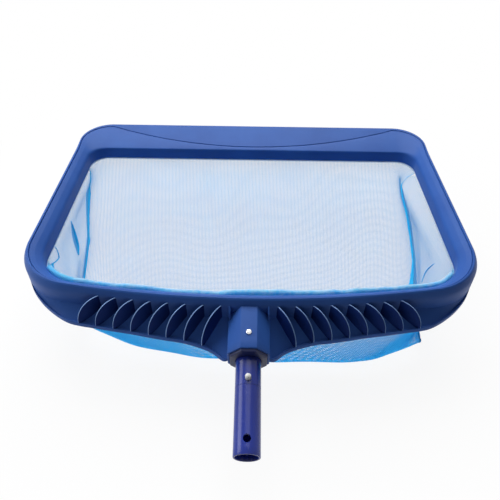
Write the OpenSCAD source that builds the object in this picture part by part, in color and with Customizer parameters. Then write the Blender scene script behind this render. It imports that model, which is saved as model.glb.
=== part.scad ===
// Leaf skimmer net head: moulded scoop frame, clamped wedge net bag, pole tube with snap buttons.
// Millimetres. Z up with the net's mouth facing up, X across the mouth, Y from the pole to the lip.
// The origin is the centre of the tube's open end, where a pole slides on.

/* [Ring] */
// half the width over the outer frame
ring_half_w = 284; // [264:1:304]
// how far each side of the ring draws in from the rear corner to the lip
lip_draw = 9; // [0:0.5:12]
// depth of the ring from the rear wall to the lip edge
ring_depth = 393; // [375:1:410]
// width of the side bars between the outer wall and the mouth
side_bar_w = 22.5; // [20:0.5:27]
// width of the rear bar along the centre line
rear_bar_w = 21; // [20:0.5:24]
// width of the lip bar along the centre line
lip_bar_w = 56; // [52:1:60]
// bow of the rear wall over the ring's half width
rear_bow = 34; // [30:1:36]
// bow of the mouth's rear edge over its half width
mouth_bow = 25; // [22:1:27]
// outer corner radius at the lip
lip_corner_r = 48; // [40:1:54]
// outer corner radius at the rear
rear_corner_r = 78; // [70:1:84]
// mouth corner radius at the lip
mouth_lip_r = 26; // [22:1:32]
// mouth corner radius at the rear
mouth_rear_r = 64; // [56:1:70]
// height of the ring wall below its crest
ring_h = 30; // [28:0.5:34]
// wall thickness of the mouldings
wall = 2.8; // [2.4:0.1:3.2]
// width of the crest strip outside the parting line
crest_w = 7; // [6:0.25:8]
// how far the lip's own face reaches inward along the centre line
lens_w = 48; // [30:1:50]
// drop of the mouth's edge below the crest
face_drop = 11; // [9.5:0.25:13]

/* [Retainer] */
// wall thickness of the retainer ring
trim_t = 2.2; // [1.8:0.1:2.4]
// clearance between the retainer and the frame along the parting line
trim_gap = 0.25; // [0.15:0.05:0.4]
// width of the slot the net's hem is clamped in
hem_slot = 1.6; // [1.4:0.1:1.8]
// thickness of the frame's clamping wall beside the slot
clamp_t = 2.2; // [1.8:0.1:2.6]
// height of the frame's clamping wall
clamp_h = 10; // [8:0.5:11]

/* [Net bag] */
// thickness of the net's fabric
net_t = 0.8; // [0.6:0.1:1]
// depth of the bag below the crest
bag_depth = 118; // [105:1:130]
// half the width of the bag's bottom edge
bag_bottom_half_w = 210; // [195:1:218]
// sag of the sloping floor
bag_sag = 9; // [4:1:14]
// width of the strands between the net's openings
strand_w = 9; // [7:0.5:10]
// openings across the bag's long panel
net_across = 12; // [8:1:12]
// rows of openings down the rear wall
wall_rows = 2; // [1:1:3]
// rows of openings along the sloping floor
floor_rows = 8; // [6:1:9]
// openings across each side panel
side_across = 6; // [4:1:6]
// radius of the seam beads
seam_r = 1.5; // [1.2:0.1:1.8]
// thickness of the hem band
hem_t = 1; // [0.8:0.1:1.1]
// radius of the cord in the hem
cord_r = 1.6; // [1.3:0.1:1.8]

/* [Apron and ribs] */
// thickness of the apron plate
apron_t = 2.8; // [2.4:0.1:3.4]
// height of the apron's edge band
apron_lip = 5; // [4:0.5:6]
// thickness of the ribs
rib_t = 1.8; // [1.4:0.1:2.4]
// centre distance of the ribs along the wall
rib_pitch = 20.4; // [19.6:0.1:21]
// distance of the first rib from the middle
rib_first = 33; // [31:0.5:35]
// ribs on each side
rib_count = 8; // [5:1:8]

/* [Handle] */
// angle the tube droops below the ring
tube_droop = 11; // [9:0.5:13]
// outside diameter of the tube
tube_od = 28.6; // [28:0.1:29]
// wall thickness of the tube
tube_wall = 2; // [1.6:0.1:2.4]
// length of tube that stands out of the plug
tube_out = 105; // [102:1:130]
// length of the socket along the tube
socket_len = 53; // [50:1:58]
// how far the plug stands out of the socket
plug_proud = 3; // [2:0.5:5]
// half width of the socket
socket_hw = 23.6; // [23:0.1:25]
// half height of the socket
socket_hh = 28.3; // [27.5:0.1:29]
// wall of the socket
socket_wall = 2.6; // [2.2:0.1:3]
// clearance between plug and socket
plug_gap = 0.15; // [0.1:0.05:0.3]
// clearance between tube and plug
tube_gap = 0.08; // [0.05:0.01:0.15]

/* [Snap clip] */
// distance of the button's axis from the open end
button_s = 80; // [78:0.5:84]
// radius of a button
button_r = 3.25; // [3:0.05:3.4]
// height of a button above the tube
button_rise = 6; // [5:0.25:6.5]
// clearance of a button in its hole
button_gap = 0.35; // [0.3:0.05:0.5]
// thickness of the spring strip
strip_t = 0.7; // [0.5:0.05:0.9]
// width of the spring strip
strip_w = 9; // [7:0.5:10]
// distance of the pole pin holes from the open end
pin_hole_s = 15.5; // [13:0.5:18]
// radius of the pole pin holes
pin_hole_r = 4.1; // [3.5:0.1:4.5]
// length of the plain stretch a pole slides over
seat_len = 72; // [68:1:73]

/* [Screw] */
// shank radius of the socket screw
screw_r = 1.75; // [1.5:0.05:2]
// head radius of the socket screw
screw_head_r = 3.3; // [3:0.1:3.8]
// length of the screw below its head
screw_len = 21; // [19:0.5:22]
// distance of the screw from the socket's open face
screw_in = 19; // [17:0.5:22]

/* [Hidden] */
$fn = 48;
eps = 0.01;
tube_r = tube_od / 2;
bore_r = tube_r - tube_wall;
face_s = tube_out + plug_proud;
ring_s = face_s + socket_len;
ry = ring_s * cos(tube_droop) - socket_hh * sin(tube_droop);
crest_z = ring_s * sin(tube_droop) + socket_hh * cos(tube_droop) + 8;
base_z = crest_z - ring_h;
yo = ry - 2;
yi = yo + rear_bar_w;
yfo = yo + ring_depth;
yfi = yfo - lip_bar_w;
mouth_half_w = ring_half_w - side_bar_w;
back_y = ry - 2.2;
plug_end_s = (back_y - (socket_hh - socket_wall) * sin(tube_droop)) / cos(tube_droop) - 1.2;
seg_near = 6;
seg_c = 8;
seg_side = 4;
seg_far = 5;

// x where the bowed rear edge meets its corner arc
function slope_a(hw, bow, x) = atan(2 * bow * x / (hw * hw));
function xe1(hw, bow, r, x) = hw - r * (1 - sin(slope_a(hw, bow, x)));
function xe(hw, bow, r) = xe1(hw, bow, r, xe1(hw, bow, r, xe1(hw, bow, r, hw - 0.8 * r)));
function bow_y(hw, yn, bow, x) = yn + bow * pow(x / hw, 2);
// centre height of the rear corner arc
function near_cy(hw, yn, bow, r) =
    bow_y(hw, yn, bow, xe(hw, bow, r)) + r * cos(slope_a(hw, bow, xe(hw, bow, r)));
// point on the lip corner at the fraction f of its length
function far_pt(hw, yf, r, ys, xs, f) =
    let (a = yf - r - ys)
    let (b = r * PI / 2)
    let (c = hw - r - xs)
    let (t = f * (a + b + c))
    t < a ? [hw, ys + t] :
    t < a + b ? [hw - r + r * cos((t - a) / r * 180 / PI), yf - r + r * sin((t - a) / r * 180 / PI)] :
    [hw - r - (t - a - b), yf];
// right half of a ring outline from the rear middle to the lip middle
function half_line(hw, yn, bow, rn, yf, rf, ys, xs) =
    let (x0 = xe(hw, bow, rn))
    let (a0 = slope_a(hw, bow, x0))
    let (cy = near_cy(hw, yn, bow, rn))
    concat(
        [for (i = [0:seg_near]) [x0 * i / seg_near, bow_y(hw, yn, bow, x0 * i / seg_near)]],
        [for (i = [1:seg_c]) let (q = -90 + a0 + (90 - a0) * i / seg_c)
            [hw - rn + rn * cos(q), cy + rn * sin(q)]],
        [for (i = [1:seg_side]) [hw, cy + (ys - cy) * i / seg_side]],
        [for (i = [1:seg_c]) far_pt(hw, yf, rf, ys, xs, i / seg_c)],
        [for (i = [1:seg_far]) [xs * (1 - i / seg_far), yf]]
    );
half_n = seg_near + seg_c + seg_side + seg_c + seg_far;
ring_n = 2 * half_n;
ys_i = yfi - mouth_lip_r;
xs_i = mouth_half_w - mouth_lip_r;
out_half = half_line(ring_half_w, yo, rear_bow, rear_corner_r, yfo, lip_corner_r, ys_i, xs_i);
in_half = half_line(mouth_half_w, yi, mouth_bow, mouth_rear_r, yfi, mouth_lip_r, ys_i, xs_i);
function fold(i) = i <= half_n ? i : ring_n - i;
function side(i) = i <= half_n ? 1 : -1;
// share of the width that is left at the depth y, where the sides draw in towards the lip
draw_y = near_cy(ring_half_w, yo, rear_bow, rear_corner_r);
function drawn(y) = 1 - lip_draw / ring_half_w * max(0, (y - draw_y) / (yfo - draw_y));
function outline_p(i, p) = [side(i) * p[0] * drawn(p[1]), p[1]];
function op(i) = outline_p(i, out_half[fold(i)]);
function ip(i) = outline_p(i, in_half[fold(i)]);
function bar_w(i) = norm(ip(i) - op(i));
// 0 on the rear and sides, 1 on the lip
function ramp(t) = t * t * (3 - 2 * t);
function lipness(i) = ramp(min(1, max(0, (fold(i) - seg_near - seg_c - seg_side) / seg_c)));
function rearness(i) = fold(i) <= seg_near ? 1 : 0;
function crest_u(i) = crest_w - 3.5 * lipness(i);
function shoulder_z(i) = -9 + 6 * lipness(i);
function foot_u(i) = 0.6 + (bar_w(i) - 16.6) * lipness(i);
function part_u(i) = fold(i) <= half_n - seg_far ? crest_w :
    crest_w + (lens_w - crest_w) * (1 - pow(out_half[fold(i)][0] / xs_i, 2));
function inner_z(i) = -face_drop - 1.5 * lipness(i);
// height of the top face at the distance u from the outer outline
function face_z(i, u) = u <= crest_u(i) ? shoulder_z(i) * (1 - u / crest_u(i)) :
    inner_z(i) * (u - crest_u(i)) / (bar_w(i) - crest_u(i));
// row-frame point at the distance u from the outer outline
function at(i, u, z) = [
    op(i)[0] + (ip(i)[0] - op(i)[0]) * u / bar_w(i),
    op(i)[1] + (ip(i)[1] - op(i)[1]) * u / bar_w(i),
    crest_z + z];
// row-frame point at the distance e outside the mouth's edge
function ate(i, e, z) = at(i, bar_w(i) - e, z);

// closed loft through k loops of n points each
module closed_loft(loops) {
    k = len(loops);
    n = len(loops[0]);
    polyhedron(
        points = [for (l = loops) for (p = l) p],
        faces = [for (j = [0:k - 1]) for (i = [0:n - 1]) let (a = j * n + i) let (b = j * n + (i + 1) % n)
            let (c = ((j + 1) % k) * n + (i + 1) % n) let (d = ((j + 1) % k) * n + i)
            for (t = [0:1]) t == 0 ? [a, c, b] : [a, d, c]],
        convexity = 10
    );
}

// solid with k sections of n points each, capped at both ends
module capped_loft(secs) {
    k = len(secs);
    n = len(secs[0]);
    polyhedron(
        points = [for (s = secs) for (p = s) p],
        faces = concat(
            [for (j = [0:k - 2]) for (i = [0:n - 1]) let (a = j * n + i) let (b = j * n + (i + 1) % n)
                let (c = (j + 1) * n + (i + 1) % n) let (d = (j + 1) * n + i)
                for (t = [0:1]) t == 0 ? [a, c, b] : [a, d, c]],
            [[for (i = [0:n - 1]) i]],
            [[for (i = [n - 1:-1:0]) (k - 1) * n + i]]
        ),
        convexity = 10
    );
}

// sheet of the thickness t through a grid of points, rows first, with a grid of openings
function gnorm(g, i, j) =
    let (r = len(g) - 1)
    let (c = len(g[0]) - 1)
    let (v = cross(g[min(r, i + 1)][j] - g[max(0, i - 1)][j], g[i][min(c, j + 1)] - g[i][max(0, j - 1)]))
    v / norm(v);
// walls of the sheet's rim and openings, named by the side of the edge that stays open
function wall_before(a, m) = [[a, m + a + 1, a + 1], [a, m + a, m + a + 1]];
function wall_after(a, m) = [[a, a + 1, m + a + 1], [a, m + a + 1, m + a]];
function wall_left(a, c, m) = [[a, m + a + c, m + a], [a, a + c, m + a + c]];
function wall_right(a, c, m) = [[a, m + a, m + a + c], [a, m + a + c, a + c]];
// a cell of the grid is an opening where both its numbers are odd, except in the column skip
function is_open(i, j, skip) = i % 2 == 1 && j % 2 == 1 && j != skip;
module sheet(g, t, skip) {
    r = len(g);
    c = len(g[0]);
    m = r * c;
    cells = [for (i = [0:r - 2]) for (j = [0:c - 2]) [i * c + j, is_open(i, j, skip)]];
    full = [for (q = cells) if (!q[1]) q[0]];
    gaps = [for (q = cells) if (q[1]) q[0]];
    polyhedron(
        points = concat(
            [for (i = [0:r - 1]) for (j = [0:c - 1]) g[i][j] + gnorm(g, i, j) * t / 2],
            [for (i = [0:r - 1]) for (j = [0:c - 1]) g[i][j] - gnorm(g, i, j) * t / 2]
        ),
        faces = concat(
            [for (a = full) each [[a, a + c + 1, a + c], [a, a + 1, a + c + 1]]],
            [for (a = full) each [[m + a, m + a + c, m + a + c + 1], [m + a, m + a + c + 1, m + a + 1]]],
            [for (j = [0:c - 2]) each wall_before(j, m)],
            [for (j = [0:c - 2]) each wall_after((r - 1) * c + j, m)],
            [for (i = [0:r - 2]) each wall_left(i * c, c, m)],
            [for (i = [0:r - 2]) each wall_right(i * c + c - 1, c, m)],
            [for (a = gaps) each wall_after(a, m)],
            [for (a = gaps) each wall_before(a + c, m)],
            [for (a = gaps) each wall_right(a, c, m)],
            [for (a = gaps) each wall_left(a + 1, c, m)]
        ),
        convexity = 10
    );
}

// round bead through a list of points
function tangent(p, i) =
    let (v = p[min(len(p) - 1, i + 1)] - p[max(0, i - 1)])
    v / norm(v);
module bead(p, r, n = 8) {
    capped_loft([for (i = [0:len(p) - 1])
        let (t = tangent(p, i))
        let (a = cross(t, [1, 0, 0]) / norm(cross(t, [1, 0, 0])))
        let (b = cross(t, a))
        [for (k = [0:n - 1]) p[i] + r[i] * (a * cos(360 * k / n) + b * sin(360 * k / n))]]);
}

// frame with Y along the tube's axis and Z square to it
module on_axis() {
    rotate([tube_droop, 0, 0]) children();
}
module along_s(s0, s1) {
    translate([0, s0, 0]) rotate([-90, 0, 0]) linear_extrude(height = s1 - s0) children();
}

// ---------------------------------------------------------------- outer frame
module ring_body() {
    n = ring_n - 1;
    closed_loft([
        [for (i = [0:n]) at(i, foot_u(i), -ring_h)],
        [for (i = [0:n]) at(i, 0, shoulder_z(i))],
        [for (i = [0:n]) at(i, crest_u(i), 0)],
        [for (i = [0:n]) at(i, part_u(i) + 0.6, face_z(i, part_u(i) + 0.6))],
        [for (i = [0:n]) at(i, part_u(i) + 0.6, face_z(i, part_u(i)) - 2)],
        [for (i = [0:n]) at(i, part_u(i) + 2.8, face_z(i, part_u(i) + 2.8) - 3.3)],
        [for (i = [0:n]) at(i, part_u(i) + 2.8, face_z(i, part_u(i) + 2.8) - 5.2)],
        [for (i = [0:n]) at(i, wall + 3 * lipness(i), shoulder_z(i) - 3)],
        [for (i = [0:n]) at(i, foot_u(i) + wall + 3 * lipness(i), -ring_h + wall)],
        [for (i = [0:n]) ate(i, trim_t + hem_slot + clamp_t, -ring_h + wall)],
        [for (i = [0:n]) ate(i, trim_t + hem_slot + clamp_t, -ring_h + clamp_h)],
        [for (i = [0:n]) ate(i, trim_t + hem_slot, -ring_h + clamp_h)],
        [for (i = [0:n]) ate(i, trim_t + hem_slot, -ring_h)]
    ]);
}

// apron edge from the socket to where the corner starts: x, y from the rear wall's middle, z from the crest
edge_tab = [
    [socket_hw - 1.3, -39, -52.5], [30, -37.5, -55.5], [42, -28.5, -54], [56, -23.5, -51], [77, -18.5, -48.5],
    [98, -16, -47], [119, -13, -45.5], [139, -10, -44], [160, -7.5, -42.5], [180, -4.5, -41.5], [201, -1.5, -40.5]
];
// apron edge round the corner: angle, distance outside the wall's arc, z from the crest, edge band's height
turn_tab = [
    [-84, 17, -39.5, 5], [-72, 10.4, -38, 5], [-58, 4.9, -36.5, 4.5], [-42, 1.2, -34, 4], [-27, -1, -28.2, 1]
];
foot_tab = [socket_hw - 1.3, 29, 38, 50, 70, 90, 110, 130, 150, 170, 192];
kx = ring_half_w / 284;
function edge_x(k) = k < 4 ? edge_tab[k][0] : edge_tab[k][0] * kx;
function foot_x(k) = k < 4 ? foot_tab[k] : foot_tab[k] * kx;
rear_cx = ring_half_w - rear_corner_r;
rear_cy = draw_y;
rear_x = xe(ring_half_w, rear_bow, rear_corner_r);
// the outer wall's y at x
function wall_y(x) = x <= rear_x ? bow_y(ring_half_w, yo, rear_bow, x) :
    rear_cy - sqrt(max(0, pow(rear_corner_r, 2) - pow(x - rear_cx, 2)));
function polar(a, r) = [rear_cx + r * cos(a), rear_cy + r * sin(a)];
function up3(p, z) = [p[0], p[1], crest_z + z];
function turn_edge(q) = up3(polar(q[0], rear_corner_r + q[1]), q[2]);
function turn_foot(q) = up3(polar(q[0], rear_corner_r - 1.7), -26);
function edge_p(k) = k < 11 ? [edge_x(k), yo + edge_tab[k][1], crest_z + edge_tab[k][2]] :
    turn_edge(turn_tab[k - 11]);
function foot_p(k) = k < 11 ? [foot_x(k), wall_y(foot_x(k)) + 1.6, crest_z - 26] :
    turn_foot(turn_tab[k - 11]);
function band_h(k) = k < 11 ? apron_lip : apron_lip * turn_tab[k - 11][3] / 5;
edge_y_tab = [for (k = [0:12]) [edge_p(k)[0], edge_p(k)[1]]];
edge_z_tab = [for (k = [0:12]) [edge_p(k)[0], edge_p(k)[2]]];

function apron_sec(k) =
    let (e = edge_p(k))
    let (f = foot_p(k))
    let (d = [f[0] - e[0], f[1] - e[1], 0])
    let (u = (k == 15 ? -1 : 1) * d / norm(d) * (k == 15 ? -0.3 : 1))
    let (m = (e + f) / 2 - [0, 0, k > 13 ? 0.3 : 1.5])
    let (h = band_h(k))
    let (w = min(2.4, norm(d) * 0.42))
    [f, m, e + u * w * 0.6 + [0, 0, 0.2], e + u * w * 0.5 + [0, 0, 1.2], e + [0, 0, 1],
     e - [0, 0, h], e + u * w - [0, 0, h], e + u * (w + 0.2) - [0, 0, min(apron_t, h - 0.4)],
     m - [0, 0, min(apron_t, h)], f - [0, 0, apron_t + 0.6]];

module apron_half() {
    capped_loft([for (k = [0:15]) apron_sec(k)]);
}

module rib(xt, xb) {
    yt = wall_y(xt);
    yb = lookup(xb, edge_y_tab);
    zb = lookup(xb, edge_z_tab) - crest_z;
    run = norm([xb - xt, yb - yt]);
    ang = atan2(yb - yt, xb - xt);
    top = [for (q = [0:15:90]) [run * sin(q) - 0.4 * sin(q), -8.2 + (zb + 8.2) * (1 - cos(q))]];
    translate([xt, yt, crest_z])
        rotate([0, 0, ang])
            rotate([90, 0, 0])
                translate([0, 0, -rib_t / 2])
                    linear_extrude(height = rib_t)
                        polygon(concat([[-1.6, -9.5]], top, [[run - 2, zb - 2], [-1.6, -29]]));
}

module octagon(hw, hh, cx, cz) {
    polygon([
        [hw, hh - cz], [hw - cx, hh], [cx - hw, hh], [-hw, hh - cz],
        [-hw, cz - hh], [cx - hw, -hh], [hw - cx, -hh], [hw, cz - hh]
    ]);
}

// size of the block that cuts the socket off upright at the ring wall
cut_w = 5 * socket_hw;
cut_y = 2 * socket_len;
// solid part of the socket
module socket_solid() {
    intersection() {
        on_axis() along_s(face_s, ring_s + 14) octagon(socket_hw, socket_hh, 14.4, 15.7);
        translate([-cut_w / 2, ry + 0.8 - cut_y, crest_z - 4.2 * socket_hh])
            cube([cut_w, cut_y, 5 * socket_hh]);
    }
}

module socket_hollow() {
    ihw = socket_hw - socket_wall;
    ihh = socket_hh - socket_wall;
    intersection() {
        on_axis() along_s(face_s - 1, ring_s + 14) octagon(ihw, ihh, 12.9, 14.1);
        translate([-cut_w / 2, back_y - cut_y, crest_z - 4.2 * socket_hh])
            cube([cut_w, cut_y, 5 * socket_hh]);
    }
}

// small upright tab where the socket meets the ring wall
module socket_tab() {
    translate([socket_hw - 2.4, ry - 9, crest_z - 26])
        rotate([90, 0, 90])
            linear_extrude(height = 2.2)
                polygon([[0, 0], [9.4, 0], [9.4, 17.5], [7.4, 17.5], [1.5, 10.5]]);
}

module outer_frame() {
    color([0.16, 0.27, 0.58])
    difference() {
        union() {
            ring_body();
            apron_half();
            mirror([1, 0, 0]) apron_half();
            socket_solid();
            socket_tab();
            mirror([1, 0, 0]) socket_tab();
            for (j = [0:rib_count - 1]) {
                rib((rib_first + rib_pitch * j) * kx, (rib_first + 22 + (rib_pitch + 0.45) * j) * kx);
                mirror([1, 0, 0])
                    rib((rib_first + rib_pitch * j) * kx, (rib_first + 22 + (rib_pitch + 0.45) * j) * kx);
            }
        }
        socket_hollow();
        on_axis()
            translate([0, face_s + screw_in, 0])
                cylinder(r = screw_r + 0.2, h = socket_hh + 5);
    }
}

// ---------------------------------------------------------------- retainer ring
module net_retainer() {
    n = ring_n - 1;
    g = 0.6 + trim_gap;
    color([0.15, 0.25, 0.55])
    closed_loft([
        [for (i = [0:n]) at(i, part_u(i) + g, face_z(i, part_u(i) + g))],
        [for (i = [0:n]) ate(i, 1.2, face_z(i, bar_w(i) - 1.2))],
        [for (i = [0:n]) ate(i, 0, inner_z(i) - 1.2)],
        [for (i = [0:n]) ate(i, 0, -ring_h)],
        [for (i = [0:n]) ate(i, trim_t, -ring_h)],
        [for (i = [0:n]) ate(i, trim_t, inner_z(i) - 2.4)],
        [for (i = [0:n]) at(i, part_u(i) + g, face_z(i, part_u(i) + g) - 1.5)]
    ]);
}

// ---------------------------------------------------------------- net bag
hem_e = trim_t + hem_slot / 2;
hem_low = -ring_h - 3;
// the hem turns outward over the clamping wall, clear of its top
turn_z = -ring_h + clamp_h + 0.4;
module bag_hem() {
    n = ring_n - 1;
    a = hem_e - hem_t / 2;
    b = hem_e + hem_t / 2;
    turn_e = b + clamp_t + 0.8;
    color([0.2, 0.55, 0.85])
    closed_loft([
        [for (i = [0:n]) ate(i, a, hem_low)],
        [for (i = [0:n]) ate(i, b, hem_low)],
        [for (i = [0:n]) ate(i, b, turn_z)],
        [for (i = [0:n]) ate(i, turn_e, turn_z)],
        [for (i = [0:n]) ate(i, turn_e, turn_z + hem_t)],
        [for (i = [0:n]) ate(i, a, turn_z + hem_t)]
    ]);
}

module hem_cord() {
    n = ring_n - 1;
    c = hem_e + hem_t / 2 + clamp_t + 1.1 + cord_r;
    cz = turn_z - 0.9;
    color([0.85, 0.9, 0.95])
    closed_loft([for (k = [0:7])
        [for (i = [0:n]) ate(i, c + cord_r * cos(45 * k), cz + cord_r * sin(45 * k))]]);
}

bag_top = hem_low - 0.3 - net_t / 2;
// the net's rims from the left seam to the right one, along the rear and along the lip
rim_near = seg_near + seg_c;
rim_far = seg_far + seg_c;
function rim_pt(i) = ate((i + ring_n) % ring_n, hem_e, bag_top);
rear_pts = [for (i = [-rim_near:rim_near]) rim_pt(i)];
lip_pts = [for (i = [half_n + rim_far:-1:half_n - rim_far]) rim_pt(i)];
// run along a rim up to each of its points, in which the corners count double
function corner_share(i, n) = min(i, n - 2 - i) < seg_c ? 2 : 1;
function rim_run(p) =
    [for (i = 0, s = 0; i < len(p); s = i + 1 < len(p) ?
        s + norm(p[i + 1] - p[i]) * corner_share(i, len(p)) : s, i = i + 1) s];
rear_run = rim_run(rear_pts);
lip_run = rim_run(lip_pts);
function last(v) = v[len(v) - 1];
// point at the fraction f along a rim
function on_rim(p, run, f) =
    let (s = f * last(run))
    let (along = function(c) lookup(s, [for (i = [0:len(p) - 1]) [run[i], p[i][c]]]))
    [along(0), along(1), p[0][2]];
function rear_rim(f) = on_rim(rear_pts, rear_run, f);
function lip_rim(f) = on_rim(lip_pts, lip_run, f);
function bottom_x(f) = bag_bottom_half_w * (2 * f - 1);
function bottom_y(f) = yo + 7 + 36 * pow(abs(2 * f - 1), 4);
function bottom_z(f) = crest_z - bag_depth + 8 * pow(abs(2 * f - 1), 4);
function low_near(f) = [bottom_x(f), bottom_y(f), bottom_z(f) + 11];
function low_mid(f) = [bottom_x(f) * 0.995, bottom_y(f) + 12, bottom_z(f)];
function mix(a, b, t) = a + (b - a) * t;
function wall_pt(f, t) = mix(rear_rim(f), low_near(f), t) - [0, 4 * sin(180 * t), 0];
function floor_pt(f, t) = mix(low_mid(f), lip_rim(f), t) - [0, 0, bag_sag * sin(180 * t)];
// the seam's two legs on the left side: from the rear rim down, and from the lip rim down
function near_leg(t) = wall_pt(0, t);
function far_leg(t) = floor_pt(0, 1 - t);
function unit(v) = v / norm(v);
function near_dir(t) = unit(near_leg(min(1, t + 0.02)) - near_leg(max(0, t - 0.02)));
function far_dir(t) = unit(far_leg(min(1, t + 0.02)) - far_leg(max(0, t - 0.02)));

// fractions along a length at which n openings start and end, with a wider strand at both ends
function grid_lines(n, length, edge) =
    let (e = edge / length)
    let (s = strand_w / length)
    let (o = (1 - 2 * e - (n - 1) * s) / n)
    concat([0], [for (k = [0:n - 1]) for (q = [0:1]) e + k * (o + s) + q * o], [1]);
wall_len = norm(wall_pt(0.5, 1) - wall_pt(0.5, 0));
floor_len = norm(floor_pt(0.5, 1) - floor_pt(0.5, 0));
col_f = grid_lines(net_across, last(lip_run), 2 * strand_w);
wall_t = grid_lines(wall_rows, wall_len, strand_w);
floor_t = grid_lines(floor_rows, floor_len, strand_w);
col_n = len(col_f) - 1;
edge_in = seam_r + 0.15;
function panel_row(j) = concat(
    [for (t = wall_t) wall_pt(col_f[j], t)],
    [for (t = floor_t) floor_pt(col_f[j], t)]);
full_rows = [for (j = [0:col_n]) panel_row(j)];
last_k = len(full_rows[0]) - 1;
seam_dirs = concat([for (t = wall_t) near_dir(t)], [for (t = floor_t) far_dir(1 - t)]);
// distance to go along the direction u to be clear of a bead along the direction t
function clear_run(u, t) = (edge_in + 0.5) / max(0.2, norm(cross(u, t)));
// the two outermost rows are drawn in from the seam line
function draw_in(a, b, t) = a + unit(b - a) * min(0.85 * norm(b - a), clear_run(unit(b - a), t));
function mirrored(p) = [-p[0], p[1], p[2]];
edge_row = [for (k = [0:last_k]) draw_in(full_rows[0][k], full_rows[1][k], seam_dirs[k])];
panel_rows = concat(
    [edge_row],
    [for (j = [1:col_n - 1]) full_rows[j]],
    [[for (k = [0:last_k]) mirrored(edge_row[k])]]);

module bag_body() {
    color([0.75, 0.83, 0.92])
    sheet(panel_rows, net_t, len(wall_t) - 1);
}

// seam line of the left side from the rear rim down to the bottom and up to the lip rim
seam_line = concat(
    [for (t = [0:0.1:1]) near_leg(t)],
    [for (t = [0:0.0625:1]) far_leg(1 - t)]);
module seam(s) {
    n = len(seam_line) - 1;
    p = [for (k = [0:n])
        [s * seam_line[k][0], seam_line[k][1], seam_line[k][2] - (k == 0 || k == n ? 1.5 : 0)]];
    bead(p, [for (k = [0:n]) k == n ? seam_r * 0.35 : seam_r], 8);
}

// side panel between the two legs of the seam
side_len = norm(near_leg(0) - far_leg(0));
side_f = grid_lines(side_across, side_len, 1.5 * strand_w);
side_t = [0, 0.07, 0.36, 0.44, 0.73, 0.97];
function gusset_row(t) =
    let (a = near_leg(t))
    let (b = far_leg(t))
    let (u = unit(b - a))
    let (p = clear_run(u, near_dir(t)))
    let (q = clear_run(u, far_dir(t)))
    let (l = norm(b - a) - p - q)
    [for (f = side_f) a + u * (p + l * f) - [3 * sin(180 * f) * sin(180 * t), 0, 0]];
module gusset(s) {
    g = [for (t = side_t) gusset_row(t)];
    if (s > 0) {
        sheet(g, net_t, -1);
    } else {
        mirror([1, 0, 0]) sheet(g, net_t, -1);
    }
}

module bag_side_left() {
    color([0.7, 0.8, 0.92]) gusset(1);
}

module bag_side_right() {
    color([0.7, 0.8, 0.92]) gusset(-1);
}

module seam_left() {
    color([0.2, 0.55, 0.85]) seam(1);
}

module seam_right() {
    color([0.2, 0.55, 0.85]) seam(-1);
}

// ---------------------------------------------------------------- plug and tube
module handle_plug() {
    phw = socket_hw - socket_wall - plug_gap;
    phh = socket_hh - socket_wall - plug_gap;
    color([0.13, 0.22, 0.5])
    on_axis()
    difference() {
        along_s(tube_out, plug_end_s) octagon(phw, phh, 12.9, 14.1);
        along_s(tube_out - 1, plug_end_s + 1) circle(r = tube_r + tube_gap);
        translate([0, face_s + screw_in, 0]) cylinder(r = screw_r + 0.03, h = socket_hh + 5);
    }
}

module cross_hole(s, r) {
    translate([0, s, -tube_od]) cylinder(r = r, h = 2 * tube_od);
}

module handle_tube() {
    color([0.12, 0.15, 0.5])
    on_axis()
    difference() {
        along_s(0, plug_end_s) circle(r = tube_r);
        along_s(-1, plug_end_s + 1) circle(r = bore_r);
        // fine seat line that marks how far a pole goes on
        along_s(seat_len, seat_len + 0.8) difference() {
            circle(r = tube_r + 1);
            circle(r = tube_r - 0.25);
        }
        cross_hole(button_s, button_r + button_gap);
        cross_hole(pin_hole_s, pin_hole_r);
        translate([0, face_s + screw_in, 0]) cylinder(r = screw_r + 0.05, h = tube_od);
    }
}

// ---------------------------------------------------------------- snap clip
flange_top = sqrt(pow(bore_r, 2) - pow(button_r + 1.3, 2)) - 0.35;
strip_top = flange_top - 1.25;
bend_s = face_s + 4;
function clip_mid(k) = [
    [button_s - 5, strip_top - strip_t / 2], [button_s + 6, strip_top - strip_t / 2],
    [bend_s - 6, 6], [bend_s - 2.5, 4.4], [bend_s - 0.4, 1.8], [bend_s, 0]][k];
clip_path = concat([for (k = [0:5]) clip_mid(k)], [for (k = [4:-1:0]) [clip_mid(k)[0], -clip_mid(k)[1]]]);
function path_n(p, i) =
    let (v = p[min(len(p) - 1, i + 1)] - p[max(0, i - 1)])
    [-v[1], v[0]] / norm(v);
module clip_spring() {
    n = len(clip_path);
    color([0.75, 0.76, 0.78])
    on_axis()
    difference() {
        translate([-strip_w / 2, 0, 0])
            rotate([90, 0, 90])
                linear_extrude(height = strip_w)
                    polygon(concat(
                        [for (i = [0:n - 1]) clip_path[i] + path_n(clip_path, i) * strip_t / 2],
                        [for (i = [n - 1:-1:0]) clip_path[i] - path_n(clip_path, i) * strip_t / 2]));
        translate([0, button_s, -tube_od]) cylinder(r = 2.1, h = 2 * tube_od);
    }
}

module button() {
    crown = tube_r + button_rise;
    translate([0, button_s, 0])
        rotate_extrude()
            polygon([
                [0, strip_top - strip_t - 0.6], [1.75, strip_top - strip_t - 0.6], [1.75, strip_top + 0.05],
                [button_r + 1.3, strip_top + 0.05], [button_r + 1.3, flange_top], [button_r, flange_top],
                [button_r, crown - 1.6], [button_r - 0.25, crown - 0.9], [button_r - 0.9, crown - 0.3],
                [button_r - 1.9, crown], [0, crown]
            ]);
}

module button_top() {
    color([0.95, 0.95, 0.95]) on_axis() button();
}

module button_bottom() {
    color([0.95, 0.95, 0.95]) on_axis() rotate([0, 180, 0]) button();
}

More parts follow.
